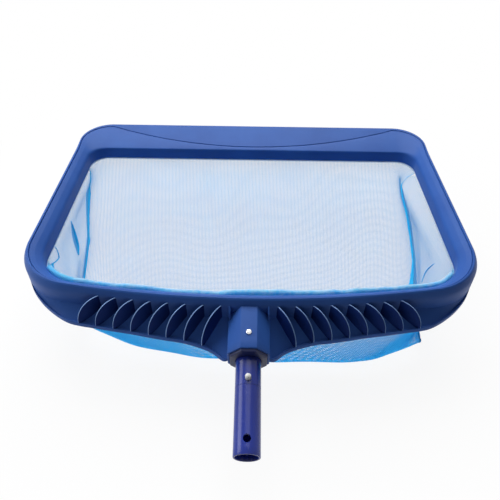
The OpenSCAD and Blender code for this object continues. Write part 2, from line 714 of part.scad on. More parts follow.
// ---------------------------------------------------------------- screw
module socket_screw() {
    color([0.8, 0.8, 0.82])
    on_axis()
    translate([0, face_s + screw_in, socket_hh + 0.05])
    difference() {
        rotate_extrude()
            polygon([
                [0, -screw_len], [screw_r, 2.4 - screw_len], [screw_r, 0], [screw_head_r, 0],
                [screw_head_r, 0.9], [screw_head_r - 0.7, 1.7], [screw_head_r - 1.8, 2.1], [0, 2.2]
            ]);
        translate([-1.9, -0.35, 1]) cube([3.8, 0.7, 2]);
        translate([-0.35, -1.9, 1]) cube([0.7, 3.8, 2]);
    }
}

outer_frame();
net_retainer();
bag_hem();
hem_cord();
bag_body();
bag_side_left();
bag_side_right();
seam_left();
seam_right();
handle_plug();
handle_tube();
clip_spring();
button_top();
button_bottom();
socket_screw();
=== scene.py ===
import math

import bmesh
import bpy
import numpy as np
from mathutils import Matrix, Vector


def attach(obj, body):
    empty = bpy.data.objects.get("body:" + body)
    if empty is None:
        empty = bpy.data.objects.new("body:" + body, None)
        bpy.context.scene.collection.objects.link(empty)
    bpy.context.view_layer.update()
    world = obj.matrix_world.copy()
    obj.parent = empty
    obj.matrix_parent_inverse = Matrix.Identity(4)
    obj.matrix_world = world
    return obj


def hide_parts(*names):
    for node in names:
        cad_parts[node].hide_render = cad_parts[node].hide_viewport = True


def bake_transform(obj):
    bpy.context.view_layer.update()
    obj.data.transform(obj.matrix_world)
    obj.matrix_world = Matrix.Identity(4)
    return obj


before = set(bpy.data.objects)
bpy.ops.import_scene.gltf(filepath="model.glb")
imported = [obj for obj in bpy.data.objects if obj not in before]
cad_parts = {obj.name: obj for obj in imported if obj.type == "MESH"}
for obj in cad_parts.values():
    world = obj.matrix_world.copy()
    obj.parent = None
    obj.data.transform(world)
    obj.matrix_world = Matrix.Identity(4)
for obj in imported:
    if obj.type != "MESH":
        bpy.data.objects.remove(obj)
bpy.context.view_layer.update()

# ---- sizes, in millimetres, as in the CAD
MM = 0.001
HEAD, BTN_UP, BTN_LOW = "net_head", "button_upper", "button_lower"
DROOP = math.radians(11.0)
CD, SD = math.cos(DROOP), math.sin(DROOP)
RING_HW, RING_DEPTH, SIDE_BAR, REAR_BAR, LIP_BAR = 284.0, 393.0, 22.5, 21.0, 56.0
LIP_DRAW = 9.0
REAR_BOW, MOUTH_BOW = 34.0, 25.0
LIP_R, REAR_R, MOUTH_LIP_R, MOUTH_REAR_R = 48.0, 78.0, 26.0, 64.0
RING_H, WALL, CREST_W, LENS_W, FACE_DROP = 30.0, 2.8, 7.0, 48.0, 11.0
TRIM_T, HEM_SLOT, CLAMP_T, CLAMP_H = 2.2, 1.6, 2.2, 10.0
TUBE_OUT, FACE_S, SOCKET_LEN = 105.0, 108.0, 53.0
SOCKET_HW, SOCKET_HH, SOCKET_WALL, PLUG_GAP = 23.6, 28.3, 2.6, 0.15
TUBE_R, TUBE_WALL = 14.3, 2.0
BORE_R = TUBE_R - TUBE_WALL
RING_S = FACE_S + SOCKET_LEN
RY = RING_S * CD - SOCKET_HH * SD
CREST_Z = RING_S * SD + SOCKET_HH * CD + 8.0
YO = RY - 2.0
YI = YO + REAR_BAR
YFO = YO + RING_DEPTH
YFI = YFO - LIP_BAR
MOUTH_HW = RING_HW - SIDE_BAR
YS, XS = YFI - MOUTH_LIP_R, MOUTH_HW - MOUTH_LIP_R
SEG_NEAR, SEG_C, SEG_SIDE, SEG_FAR = 48, 28, 24, 36
HALF_N = SEG_NEAR + 2 * SEG_C + SEG_SIDE + SEG_FAR
RING_N = 2 * HALF_N
SCREW_S = FACE_S + 19.0
BUTTON_S, BUTTON_R, BUTTON_RISE = 80.0, 3.25, 6.0
PIN_S, PIN_R = 15.5, 4.1
# how far in the tube and the plug reach, and how far below the crest the hem rests
INNER_END_S, HEM_REST = 147.0, -31.0


def placed(name, data):
    """An object in the scene that holds the data."""
    ob = bpy.data.objects.new(name, data)
    bpy.context.scene.collection.objects.link(ob)
    return ob


# ---- camera first
def make_camera():
    """Camera at the height and tilt of someone who holds the pole."""
    pitch, roll, yaw = math.radians(42.29), math.radians(0.67), math.radians(-0.34)
    fwd = Vector((math.sin(yaw) * math.cos(pitch), math.cos(yaw) * math.cos(pitch), -math.sin(pitch)))
    right = Vector((math.cos(yaw), -math.sin(yaw), 0))
    down = fwd.cross(right)
    cam_x = math.cos(roll) * right - math.sin(roll) * down
    cam_down = math.sin(roll) * right + math.cos(roll) * down
    cam = placed("camera", bpy.data.cameras.new("camera"))
    turn = Matrix((cam_x, -cam_down, -fwd)).transposed().to_4x4()
    place = (0.0025, -0.2679, 0.5261)
    cam.matrix_world = Matrix.Translation(place) @ turn
    cam.data.sensor_width = 36.0
    cam.data.lens = 39.6
    cam.data.clip_start, cam.data.clip_end = 0.01, 50.0
    bpy.context.scene.camera = cam


make_camera()


# ---- node helpers
def srgb(r, g, b):
    """Linear colour from 0 to 255 screen values."""
    return tuple((c / 255 / 12.92 if c / 255 <= 0.04045 else ((c / 255 + 0.055) / 1.055) ** 2.4)
                 for c in (r, g, b)) + (1.0,)


class Nodes:
    """A small builder for one node tree."""

    def __init__(self, tree):
        self.tree = tree
        tree.nodes.clear()

    def add(self, kind, inputs=None, **props):
        n = self.tree.nodes.new(kind)
        for key, value in props.items():
            setattr(n, key, value)
        for key, value in (inputs or {}).items():
            if isinstance(value, bpy.types.NodeSocket):
                self.tree.links.new(value, n.inputs[key])
            else:
                n.inputs[key].default_value = value
        return n

    def math(self, op, a, b=0.0, c=0.0, clamp=False):
        return self.add("ShaderNodeMath", {0: a, 1: b, 2: c}, operation=op, use_clamp=clamp).outputs[0]

    def mix(self, fac, a, b):
        return self.add("ShaderNodeMix", {0: fac, 6: a, 7: b}, data_type="RGBA").outputs[2]

    def noise(self, coord, scale, detail=3.0, rough=0.5, stretch=None):
        if stretch is not None:
            coord = self.add("ShaderNodeMapping", {"Vector": coord, "Scale": stretch}).outputs[0]
        return self.add("ShaderNodeTexNoise", {"Vector": coord, "Scale": scale, "Detail": detail,
                                               "Roughness": rough}).outputs[0]

    def ramp(self, fac, lo, hi, a=0.0, b=1.0):
        return self.add("ShaderNodeMapRange", {0: fac, 1: lo, 2: hi, 3: a, 4: b}).outputs[0]

    def relief(self, height, strength, distance):
        return self.add("ShaderNodeBump", {"Height": height, "Strength": strength,
                                           "Distance": distance}).outputs[0]

    def shader(self, colour, rough, bump, **more):
        """Principled shader; an underscore in a socket's name stands for a space."""
        sockets = {"Base Color": colour, "Roughness": rough, "Normal": bump}
        sockets.update({key.replace("_", " "): v for key, v in more.items()})
        return self.add("ShaderNodeBsdfPrincipled", sockets).outputs[0]

    def value(self, name):
        """A piece's own value for each vertex, set by set_values."""
        return self.add("ShaderNodeAttribute", attribute_name=name).outputs["Fac"]

    def white_ray(self):
        """One for rays that see the white background, directly or through gloss or glass."""
        path = self.add("ShaderNodeLightPath").outputs
        return self.math("MAXIMUM", path["Is Camera Ray"],
                         self.math("MAXIMUM", path["Is Glossy Ray"], path["Is Transmission Ray"]))


def new_material(name):
    """A material with an empty node tree: itself, its builder, its output and object coordinates."""
    m = bpy.data.materials.new(name)
    m.use_nodes = True
    t = Nodes(m.node_tree)
    out = t.add("ShaderNodeOutputMaterial")
    coord = t.add("ShaderNodeTexCoord").outputs["Object"]
    return m, t, out, coord


def plastic(name, base, shade, scuff, rough, grain, spec=0.35, streak=None, scuffs=0.25, coat=0.0, edge=None):
    """Moulded plastic: cloudy pigment, flow streaks, fine grain, scuffs that are paler and rougher; the edge
    attribute marks a thin free edge that gets a painted glint, a pale stripe that stands for its highlight."""
    m, t, out, coord = new_material(name)
    cloud = t.ramp(t.noise(coord, 14.0, 4.0), 0.35, 0.65)
    col = t.mix(cloud, base, shade)
    if streak:
        flow = t.ramp(t.noise(coord, 60.0, 4.0, 0.6, streak), 0.35, 0.7)
        col = t.mix(t.math("MULTIPLY", flow, 0.35), col, shade)
    marks = t.ramp(t.noise(coord, 55.0, 8.0, 0.72), 0.60, 0.78)
    rub = t.math("MULTIPLY", marks, scuffs)
    col = t.mix(rub, col, scuff)
    # Painted glint: a pale stripe along a thin free edge, in place of the highlight it catches.
    if edge:
        painted_glint = t.value("edge")
        col = t.mix(t.math("MULTIPLY", painted_glint, t.ramp(cloud, 0.0, 1.0, 1.0, 0.75)), col, edge)
    fine = t.noise(coord, grain, 2.0, 0.6)
    r = t.math("ADD", t.ramp(fine, 0.3, 0.7, rough - 0.05, rough + 0.06), t.math("MULTIPLY", marks, 0.12))
    relief = t.math("ADD", t.math("MULTIPLY", fine, 0.6), t.math("MULTIPLY", t.noise(coord, 90.0, 3.0), 0.4))
    s = t.shader(col, r, t.relief(relief, 0.22, 0.0004), Specular_IOR_Level=spec, Coat_Weight=coat,
                 Coat_Roughness=0.12)
    t.tree.links.new(s, out.inputs[0])
    return m


def metal(name, base, dark, rough, brush, scale=400.0):
    """Metal with fine lines drawn along the brush direction and a few dull spots."""
    m, t, out, coord = new_material(name)
    lines = t.noise(coord, scale, 3.0, 0.6, brush)
    spots = t.ramp(t.noise(coord, 120.0, 5.0), 0.5, 0.75)
    col = t.mix(t.math("MULTIPLY", spots, 0.5), base, dark)
    r = t.ramp(lines, 0.3, 0.7, rough, rough + 0.15)
    t.tree.links.new(t.shader(col, r, t.relief(lines, 0.15, 0.0002), Metallic=1.0), out.inputs[0])
    return m


def see_through(t, out, shader, colour, share):
    """Thin cloth: a share of the light comes through from the other side."""
    back = t.add("ShaderNodeBsdfTranslucent", {"Color": colour})
    mixed = t.add("ShaderNodeMixShader", {0: share, 1: shader, 2: back.outputs[0]})
    t.tree.links.new(mixed.outputs[0], out.inputs[0])


def cloth(name, base, deep, weave, share, pale=None):
    """Woven tape: two crossed thread waves, cloudy colour and soft sheen; where its painted glow is low it is
    pale.
    """
    m, t, out, coord = new_material(name)
    wave = {"Vector": coord, "Scale": weave, "Distortion": 1.2, "Detail": 1.0}
    a, b = (t.add("ShaderNodeTexWave", wave, bands_direction=way).outputs[1] for way in "XY")
    relief = t.math("MULTIPLY", t.math("ADD", a, b), 0.5)
    cloud = t.ramp(t.noise(coord, 40.0, 4.0), 0.35, 0.65)
    col = t.mix(cloud, base, deep)
    col = t.mix(t.ramp(relief, 0.2, 0.8, 0.25, 0.0), col, deep)
    # Painted glow: pale where it is low, full colour where it stands for light shining through.
    if pale:
        patch = t.ramp(t.noise(coord, 160.0, 4.0, 0.6), 0.35, 0.65, -0.25, 0.25)
        col = t.mix(t.math("ADD", t.value("painted_glow"), patch, clamp=True), pale, col)
    s = t.shader(col, 0.7, t.relief(relief, 0.5, 0.0003), Sheen_Weight=0.2, Specular_IOR_Level=0.2)
    see_through(t, out, s, col, share)
    return m


def net_thread(name, pale, glow_colour, deep):
    """Fine net thread, one cyan fabric with fibre twist: painted glow runs from pale to full cyan where light
    shines through.
    """
    m, t, out, coord = new_material(name)
    painted_glow = t.value("painted_glow")
    cloud = t.ramp(t.noise(coord, 22.0, 4.0), 0.3, 0.7, -0.12, 0.12)
    col = t.mix(t.math("ADD", painted_glow, cloud, clamp=True), pale, glow_colour)
    fibre = t.noise(coord, 1500.0, 2.0, 0.6)
    col = t.mix(t.ramp(fibre, 0.3, 0.7, 0.0, 0.18), col, deep)
    s = t.shader(col, t.ramp(fibre, 0.3, 0.7, 0.42, 0.6), t.relief(fibre, 0.3, 0.0001),
                 Sheen_Weight=0.15, Specular_IOR_Level=0.2)
    see_through(t, out, s, col, 0.7)
    return m


FRAME_MAT = plastic("frame_plastic_moulded", srgb(50, 93, 170), srgb(45, 85, 159), srgb(86, 124, 186),
                    0.45, 900.0, spec=0.13, streak=(1.0, 0.12, 0.12), scuffs=0.16)
RIM_MAT = plastic("retainer_plastic_moulded", srgb(51, 95, 172), srgb(46, 86, 161), srgb(86, 124, 186),
                  0.43, 900.0, spec=0.13, streak=(0.12, 1.0, 0.12), scuffs=0.16)
PLUG_MAT = plastic("plug_plastic", srgb(24, 36, 92), srgb(19, 30, 80), srgb(58, 76, 130),
                   0.4, 1100.0, spec=0.3, scuffs=0.3)
# Painted shade and glint: the ribs are the frame's plastic, painted darker to stand for the shade between
# them, with a pale painted glint along their free edges.
RIB_MAT = plastic("rib_plastic_painted_shade_and_glint", srgb(24, 50, 116), srgb(20, 43, 104), srgb(60, 92, 156),
                  0.5, 900.0, spec=0.04, streak=(0.3, 0.3, 1.0), scuffs=0.10, edge=srgb(160, 198, 255))
TUBE_MAT = plastic("tube_plastic_gloss", srgb(26, 52, 156), srgb(20, 43, 138), srgb(84, 100, 176),
                   0.2, 1300.0, spec=0.28, streak=(1.0, 0.03, 0.03), scuffs=0.16, coat=0.1)
BUTTON_MAT = plastic("button_plastic_white", srgb(238, 238, 236), srgb(226, 227, 226), srgb(200, 202, 205),
                     0.3, 1500.0, spec=0.5, scuffs=0.25)
# Hem tape: pale, and full cyan where the painted glow stands for light shining through the turned-up band.
HEM_MAT = cloth("hem_tape_woven", srgb(132, 228, 255), srgb(110, 214, 255), 700.0, share=0.38,
                pale=srgb(228, 242, 255))
SEAM_MAT = cloth("seam_tape_woven", srgb(52, 204, 255), srgb(38, 192, 255), 900.0, share=0.15)
CORD_MAT = cloth("cord_braid", srgb(226, 234, 240), srgb(190, 204, 216), 1500.0, share=0.0)
# The net is one cyan fabric: its pale and full colours are mixed by the painted glow.
NET_MAT = net_thread("net_thread_nylon", srgb(172, 210, 240), srgb(118, 226, 255), srgb(92, 212, 255))
STEEL_MAT = metal("spring_steel_strip", srgb(196, 198, 200), srgb(150, 148, 142), 0.22, (1.0, 0.02, 0.02))
SCREW_MAT = metal("screw_steel_plated", srgb(226, 227, 228), srgb(180, 180, 178), 0.18, (1.0, 1.0, 0.05),
                  scale=700.0)


# ---- mesh helpers
def mesh(name, form, recalc=True):
    """A form in millimetres as a mesh in metres; recalc merges its points and turns its faces outwards."""
    me = bpy.data.meshes.new(name)
    me.from_pydata((np.asarray(form.v, float) * MM).tolist(), [], [tuple(map(int, f)) for f in form.f])
    if recalc:
        bm = bmesh.new()
        bm.from_mesh(me)
        bmesh.ops.remove_doubles(bm, verts=bm.verts, dist=1e-6)
        bmesh.ops.recalc_face_normals(bm, faces=bm.faces)
        bm.to_mesh(me)
        bm.free()
    return me


def piece(name, form, mat, angle=38.0, body=HEAD, node=None, recalc=True):
    """A form as a piece that rides on a body and may replace a node; angle is the sharp edges'."""
    me = mesh(name, form, recalc)
    me.shade_smooth()
    if angle:
        me.set_sharp_from_angle(angle=math.radians(angle))
    ob = placed(name, me)
    me.materials.append(mat)
    if body:
        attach(ob, body)
    if node:
        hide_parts(node)
    return ob


def set_values(ob, name, values):
    """A named value for each vertex of a piece, for its material."""
    layer = ob.data.attributes.new(name, "FLOAT", "POINT")
    layer.data.foreach_set("value", np.asarray(values, np.float32))


def unit(v):
    """Vectors scaled to length one."""
    return v / np.maximum(np.linalg.norm(v, axis=-1, keepdims=True), 1e-9)


def along(path):
    """Unit tangents at the points of a path."""
    return unit(np.gradient(path, axis=0))


def beside(path):
    """Unit normals to the left of a flat path."""
    tan = along(np.asarray(path))
    return np.stack([-tan[:, 1], tan[:, 0]], 1)


def round_turn(n):
    """n even angles round a full turn."""
    return 2 * np.pi * np.arange(n) / n


def grid_faces(a, b, close_a=False, close_b=False, start=0):
    """Quads over a grid of a rows of b points."""
    out = []
    for i in range(a if close_a else a - 1):
        for j in range(b if close_b else b - 1):
            i2, j2 = (i + 1) % a, (j + 1) % b
            out.append((start + i * b + j, start + i * b + j2, start + i2 * b + j2, start + i2 * b + j))
    return out


class Parts:
    """Vertices and faces of one or more closed forms."""

    def __init__(self, v=(), f=()):
        self.v, self.f = list(v), list(f)

    def loft(self, rows, closed=False):
        """Rows of points round a section, joined end to end where closed, or else capped."""
        rows = np.asarray(rows, float)
        a, b = rows.shape[:2]
        n = len(self.v)
        self.f += grid_faces(a, b, closed, True, n)
        if not closed:
            self.f += [tuple(range(n, n + b)), tuple(range(n + (a - 1) * b, n + a * b))[::-1]]
        self.v += rows.reshape(-1, 3).tolist()
        return self


def rounded(poly, n=3):
    """The corners of a closed polygon of (x, y, radius) rounded with n + 1 points each."""
    out = []
    for k, (x, y, r) in enumerate(poly):
        p = np.array((x, y), float)
        if r <= 0:
            out.append(p)
            continue
        ua = np.array(poly[k - 1][:2], float) - p
        ub = np.array(poly[(k + 1) % len(poly)][:2], float) - p
        la, lb = np.linalg.norm(ua), np.linalg.norm(ub)
        ua, ub = ua / max(la, 1e-9), ub / max(lb, 1e-9)
        half = math.acos(max(-1, min(1, float(ua @ ub)))) / 2
        t = min(r / max(math.tan(half), 0.05), 0.46 * la, 0.46 * lb)
        for i in range(n + 1):
            s = i / n
            out.append((1 - s) ** 2 * (p + ua * t) + 2 * s * (1 - s) * p + s * s * (p + ub * t))
    return np.array(out)


def on_axis(x, s, d):
    """Row point at x, at the distance s along the tube and d square to it."""
    return (x, s * CD - d * SD, s * SD + d * CD)


def across(section, s):
    """Row points of a section of (x, d) at s along the tube, one s for all or one for each."""
    return [on_axis(x, q, d) for (x, d), q in zip(section, np.broadcast_to(s, len(section)))]


def smooth_path(points, steps):
    """Catmull-Rom through the points, with steps per span."""
    p = np.asarray(points, float)
    p = np.vstack([2 * p[0] - p[1], p, 2 * p[-1] - p[-2]])
    out = []
    for i in range(1, len(p) - 2):
        a, b, c, d = p[i - 1], p[i], p[i + 1], p[i + 2]
        for t in np.arange(steps) / steps:
            out.append(0.5 * (2 * b + (c - a) * t + (2 * a - 5 * b + 4 * c - d) * t ** 2
                              + (3 * b - a - 3 * c + d) * t ** 3))
    out.append(p[-2])
    return np.array(out)


# ---- ring outlines
def slope_at(hw, bow, x):
    """Slope of the bowed rear line at x, as an angle."""
    return math.atan(2 * bow * x / (hw * hw))


def bow_y(hw, yn, bow, x):
    """The bowed rear line, bow mm deep at the half width hw."""
    return yn + bow * (x / hw) ** 2


def corner_x(hw, bow, r):
    """Where a rear corner of radius r leaves the bowed line."""
    x = hw - 0.8 * r
    for _ in range(4):
        x = hw - r * (1 - math.sin(slope_at(hw, bow, x)))
    return x


def corner_cy(hw, yn, bow, r):
    """Depth of that corner's centre."""
    x = corner_x(hw, bow, r)
    return bow_y(hw, yn, bow, x) + r * math.cos(slope_at(hw, bow, x))


def far_pt(hw, yf, r, f):
    """Point at the fraction f along the far corner, on stations that the ring and the mouth share."""
    a, b, c = yf - r - YS, r * math.pi / 2, hw - r - XS
    t = f * (a + b + c)
    if t < a:
        return (hw, YS + t)
    if t < a + b:
        q = (t - a) / r
        return (hw - r + r * math.cos(q), yf - r + r * math.sin(q))
    return (hw - r - (t - a - b), yf)


def half_line(hw, yn, bow, rn, yf, rf):
    """Right half of an outline from the rear middle to the lip middle."""
    x0 = corner_x(hw, bow, rn)
    a0, cy = slope_at(hw, bow, x0), corner_cy(hw, yn, bow, rn)
    pts = [(x0 * i / SEG_NEAR, bow_y(hw, yn, bow, x0 * i / SEG_NEAR)) for i in range(SEG_NEAR + 1)]
    for i in range(1, SEG_C + 1):
        q = -math.pi / 2 + a0 + (math.pi / 2 - a0) * i / SEG_C
        pts.append((hw - rn + rn * math.cos(q), cy + rn * math.sin(q)))
    pts += [(hw, cy + (YS - cy) * i / SEG_SIDE) for i in range(1, SEG_SIDE + 1)]
    pts += [far_pt(hw, yf, rf, i / SEG_C) for i in range(1, SEG_C + 1)]
    pts += [(XS * (1 - i / SEG_FAR), yf) for i in range(1, SEG_FAR + 1)]
    return np.array(pts)


REAR_X = corner_x(RING_HW, REAR_BOW, REAR_R)
REAR_CX, REAR_CY = RING_HW - REAR_R, corner_cy(RING_HW, YO, REAR_BOW, REAR_R)


def whole(half):
    """Both halves of an outline, with the sides drawn in towards the lip."""
    drawn = 1 - LIP_DRAW / RING_HW * np.maximum(0, (half[:, 1] - REAR_CY) / (YFO - REAR_CY))
    half = np.stack([half[:, 0] * drawn, half[:, 1]], 1)
    left = half[1:-1][::-1] * (-1, 1)
    return np.vstack([half, left])


OUT = whole(half_line(RING_HW, YO, REAR_BOW, REAR_R, YFO, LIP_R))
INN = whole(half_line(MOUTH_HW, YI, MOUTH_BOW, MOUTH_REAR_R, YFI, MOUTH_LIP_R))
FOLD = np.array([i if i <= HALF_N else RING_N - i for i in range(RING_N)])
BAR = np.linalg.norm(INN - OUT, axis=1)
LENS_X = XS * (1 - LIP_DRAW / RING_HW)
TO_LIP = np.clip((FOLD - SEG_NEAR - SEG_C - SEG_SIDE) / SEG_C, 0, 1)
LIP = TO_LIP * TO_LIP * (3 - 2 * TO_LIP)
CREST_U = CREST_W - 3.5 * LIP
SHOULDER = -9 + 6 * LIP
FOOT_U = 0.6 + (BAR - 16.6) * LIP
PART_U = np.where(FOLD <= HALF_N - SEG_FAR, CREST_W,
                  CREST_W + (LENS_W - CREST_W) * np.clip(1 - (OUT[:, 0] / LENS_X) ** 2, 0, 1))
INNER_Z = -FACE_DROP - 1.5 * LIP


def face_z(i, u):
    """Height of the ring's top face at station i, at u in from the outer outline."""
    if u <= CREST_U[i]:
        return SHOULDER[i] * (1 - u / CREST_U[i])
    return INNER_Z[i] * (u - CREST_U[i]) / (BAR[i] - CREST_U[i])


def at(i, u, z):
    """Row point at station i, at the distance u in from the outer outline and z above the crest."""
    p = OUT[i] + (INN[i] - OUT[i]) * (u / BAR[i])
    return (p[0], p[1], CREST_Z + z)


def ate(i, e, z):
    """The same, at the distance e out from the mouth."""
    return at(i, BAR[i] - e, z)


def ring_loft(profile):
    """Closed form whose section at each station is profile(i), a list of (u, z, radius)."""
    return Parts().loft([[at(i, u, z) for u, z in rounded(profile(i))] for i in range(RING_N)], closed=True)


def frame_profile(i):
    """Section of the outer frame, from its foot over the crest and the parting step to the clamp rib."""
    lip, cu, pu, bw = LIP[i], CREST_U[i], PART_U[i], BAR[i]
    fu, sz = FOOT_U[i], SHOULDER[i]
    slot_e = TRIM_T + HEM_SLOT
    lens = min(1.0, max(0.0, (pu - cu - 0.3) / 4.0))
    edge = pu + 0.1
    return [
        (fu, -RING_H, 1.0),
        (0.0, sz, 15.0 - 13.2 * lip),
        (cu - 3.4 + 2.2 * lip, -1.7 + 1.1 * lip, 4.0 - 2.0 * lip),
        (cu - 1.7 + 1.2 * lip, -0.1, 0.9),
        (cu - 0.2 * (1 - lens), 0.0, 0.3 + 1.7 * lens),
        (edge, face_z(i, edge) if edge > cu else -0.05, 0.0),
        (pu + 0.7, face_z(i, pu + 0.7) - 1.1, 0.0),
        (pu + 0.7, face_z(i, pu) - 2.2, 0.0),
        (pu + 2.8, face_z(i, pu + 2.8) - 3.4, 0.0),
        (pu + 2.8, face_z(i, pu + 2.8) - 5.2, 0.0),
        (WALL + 3 * lip, sz - 3.0, 0.0),
        (fu + WALL + 3 * lip, -RING_H + WALL, 0.6),
        (bw - slot_e - CLAMP_T, -RING_H + WALL, 0.6),
        (bw - slot_e - CLAMP_T, -RING_H + CLAMP_H, 0.5),
        (bw - slot_e, -RING_H + CLAMP_H, 0.5),
        (bw - slot_e, -RING_H, 0.7),
    ]


def retainer_profile(i):
    """Section of the retainer: its face from the parting line to the mouth, and the skirt inside."""
    pu, bw, iz, lip = PART_U[i], BAR[i], INNER_Z[i], LIP[i]
    g = pu + 0.95
    mid = pu + 1.8 + 0.4 * (bw - pu - 1.8)
    return [
        (g, face_z(i, g) - 1.1, 0.0),
        (pu + 1.8, face_z(i, pu + 1.8), 0.35),
        (mid, face_z(i, mid) + 0.7 * (1 - lip), 4.0),
        (bw, iz, 8.0 - 5.6 * lip),
        (bw, -RING_H, 0.6),
        (bw - TRIM_T, -RING_H, 0.6),
        (bw - TRIM_T, iz - 2.4, 0.0),
        (g, face_z(i, g) - 2.0, 0.0),
    ]


# ---- apron, ribs and socket
# Apron edge along the rear as (x, y from the ring, z from the crest), and round the corner as
# (angle, radius beyond the corner's, z from the crest, height of the lip). FOOT_TAB is the foot's x.
EDGE_TAB = [(SOCKET_HW - 1.3, -39, -52.5), (30, -37.5, -55.5), (42, -28.5, -54), (56, -23.5, -51),
            (77, -18.5, -48.5), (98, -16, -47), (119, -13, -45.5), (139, -10, -44), (160, -7.5, -42.5),
            (180, -4.5, -41.5), (201, -1.5, -40.5)]
TURN_TAB = [(-84, 17, -39.5, 5), (-72, 10.4, -38, 5), (-58, 4.9, -36.5, 4.5), (-42, 1.2, -34, 4),
            (-27, -1, -28.2, 1)]
FOOT_TAB = [SOCKET_HW - 1.3, 29, 38, 50, 70, 90, 110, 130, 150, 170, 192]
APRON_T, APRON_LIP, RIB_T = 2.8, 5.0, 1.8


def wall_y(x):
    """The ring's outer rear wall at x."""
    if x <= REAR_X:
        return bow_y(RING_HW, YO, REAR_BOW, x)
    return REAR_CY - math.sqrt(max(0.0, REAR_R ** 2 - (x - REAR_CX) ** 2))


def polar(a, r):
    """Point round the rear corner's centre."""
    return (REAR_CX + r * math.cos(math.radians(a)), REAR_CY + r * math.sin(math.radians(a)))


def apron_tables():
    """Edge points, foot points and lip heights, one row each."""
    edge = [(x, YO + y, CREST_Z + z) for x, y, z in EDGE_TAB]
    edge += [polar(a, REAR_R + r) + (CREST_Z + z,) for a, r, z, h in TURN_TAB]
    foot = [(x, wall_y(x) + 1.6, CREST_Z - 26) for x in FOOT_TAB]
    foot += [polar(a, REAR_R - 1.7) + (CREST_Z - 26,) for a, r, z, h in TURN_TAB]
    band = [APRON_LIP] * len(EDGE_TAB) + [h for a, r, z, h in TURN_TAB]
    return np.array(edge), np.array(foot), np.array(band)[:, None]


EDGE_S, FOOT_S, BAND_S = (smooth_path(t, 6) for t in apron_tables())


def apron(parts, side):
    """Half of the dished apron, with a rounded lip along its edge."""
    rows = []
    for e, f, h in zip(EDGE_S, FOOT_S, BAND_S[:, 0]):
        d = np.array([f[0] - e[0], f[1] - e[1], 0])
        run = float(np.linalg.norm(d))
        u = d / max(run, 1e-6)
        w = min(2.6, run * 0.42)
        top = [(run + (w - run) * s, (f[2] + (e[2] + 0.1 - f[2]) * s) - 5.2 * s * (1 - s) * min(1, run / 12))
               for s in np.linspace(0, 1, 8)]
        low = [(q, z - min(APRON_T, max(h - 0.4, 0.4))) for q, z in top[::-1]]
        low[0] = (w + 0.2, low[0][1])
        top_z = e[2] + 1.1
        lip = rounded([(w, e[2] + 0.1, 0), (w * 0.62, top_z, 0.5), (0.0, top_z - 0.1, 0.7),
                       (0.0, e[2] - h, 0.6), (w, e[2] - h, 0.5)])
        section = top + [tuple(p) for p in lip[1:]] + low
        rows.append([(side * (e[0] + u[0] * q), e[1] + u[1] * q, z) for q, z in section])
    parts.loft(rows)


def rib(parts, xt, xb, side):
    """One fin from xt at the wall to xb at the apron's edge, with a rounded free edge."""
    yt = wall_y(xt)
    yb, zb = (float(np.interp(xb, EDGE_S[:80, 0], EDGE_S[:80, k])) for k in (1, 2))
    zb -= CREST_Z
    run = math.hypot(xb - xt, yb - yt)
    ca, sa = (xb - xt) / run, (yb - yt) / run
    h = RIB_T / 2
    curve = [(-1.6, -8.9)] + [(run * math.sin(q) - 0.5 * math.sin(q), -8.2 + (zb + 8.4) * (1 - math.cos(q)))
                              for q in np.linspace(0.0, math.pi / 2, 22)]
    rows = []
    for (q, z), n in zip(curve, -beside(curve)):
        foot = (min(q, run - 2.0) * 0.25 - 1.2, -29.0 + (zb + 27.0) * min(1, max(0, q / run)))
        edge = [(q + n[0] * depth, z + n[1] * depth, h * off)
                for off, depth in ((-1, 1.0), (-0.94, 0.36), (-0.62, 0.06), (0, 0), (0.62, 0.06),
                                   (0.94, 0.36), (1, 1.0))]
        rows.append([(side * (xt + a * ca - w * sa), yt + a * sa + w * ca, CREST_Z + b)
                     for a, b, w in [(*foot, -h), *edge, (*foot, h)]])
    parts.loft(rows)


def octagon(hw, hh, cx, cz, r):
    """Eight-sided section, with chamfers cx wide and cz high."""
    return rounded([(hw, hh - cz, r), (hw - cx, hh, r), (cx - hw, hh, r), (-hw, hh - cz, r),
                    (-hw, cz - hh, r), (cx - hw, -hh, r), (hw - cx, -hh, r), (hw, cz - hh, r)])


def scaled(section, inset):
    """An octagon's points moved in by about inset on each side."""
    c = section / np.abs(section).max(0)
    return section - c * inset


def socket(parts):
    """The eight-sided sleeve from its open face back to the ring's wall."""
    outer = octagon(SOCKET_HW, SOCKET_HH, 14.4, 15.7, 1.1)
    ihw, ihh = SOCKET_HW - SOCKET_WALL, SOCKET_HH - SOCKET_WALL
    inner = octagon(ihw, ihh, 12.9, 14.1, 0.8)
    wall_s = [(RY + 0.6 + d * SD) / CD for x, d in outer]
    back_s = [(RY - 2.2 + d * SD) / CD for x, d in inner]
    parts.loft([across(outer, wall_s), across(outer, FACE_S + 9), across(outer, FACE_S + 0.9),
                across(scaled(outer, 0.25), FACE_S + 0.3), across(scaled(outer, 0.8), FACE_S),
                across(scaled(inner, -0.5), FACE_S), across(inner, FACE_S + 0.6),
                across(inner, back_s)])


def socket_tab(parts, side):
    """The upright tab at the socket's side, against the wall."""
    poly = rounded([(0, 0, 0), (9.4, 0, 0), (9.4, 17.5, 0.4), (7.4, 17.5, 0.6), (1.5, 10.5, 0.6)], 2)
    c = poly.mean(0)
    parts.loft([[(side * (SOCKET_HW - 2.4 + x), RY - 9 + y, CREST_Z - 26 + z)
                 for y, z in c + (poly - c) * (1 - shrink / 6)]
                for x, shrink in ((0, 0.3), (0.3, 0), (1.9, 0), (2.2, 0.3))])


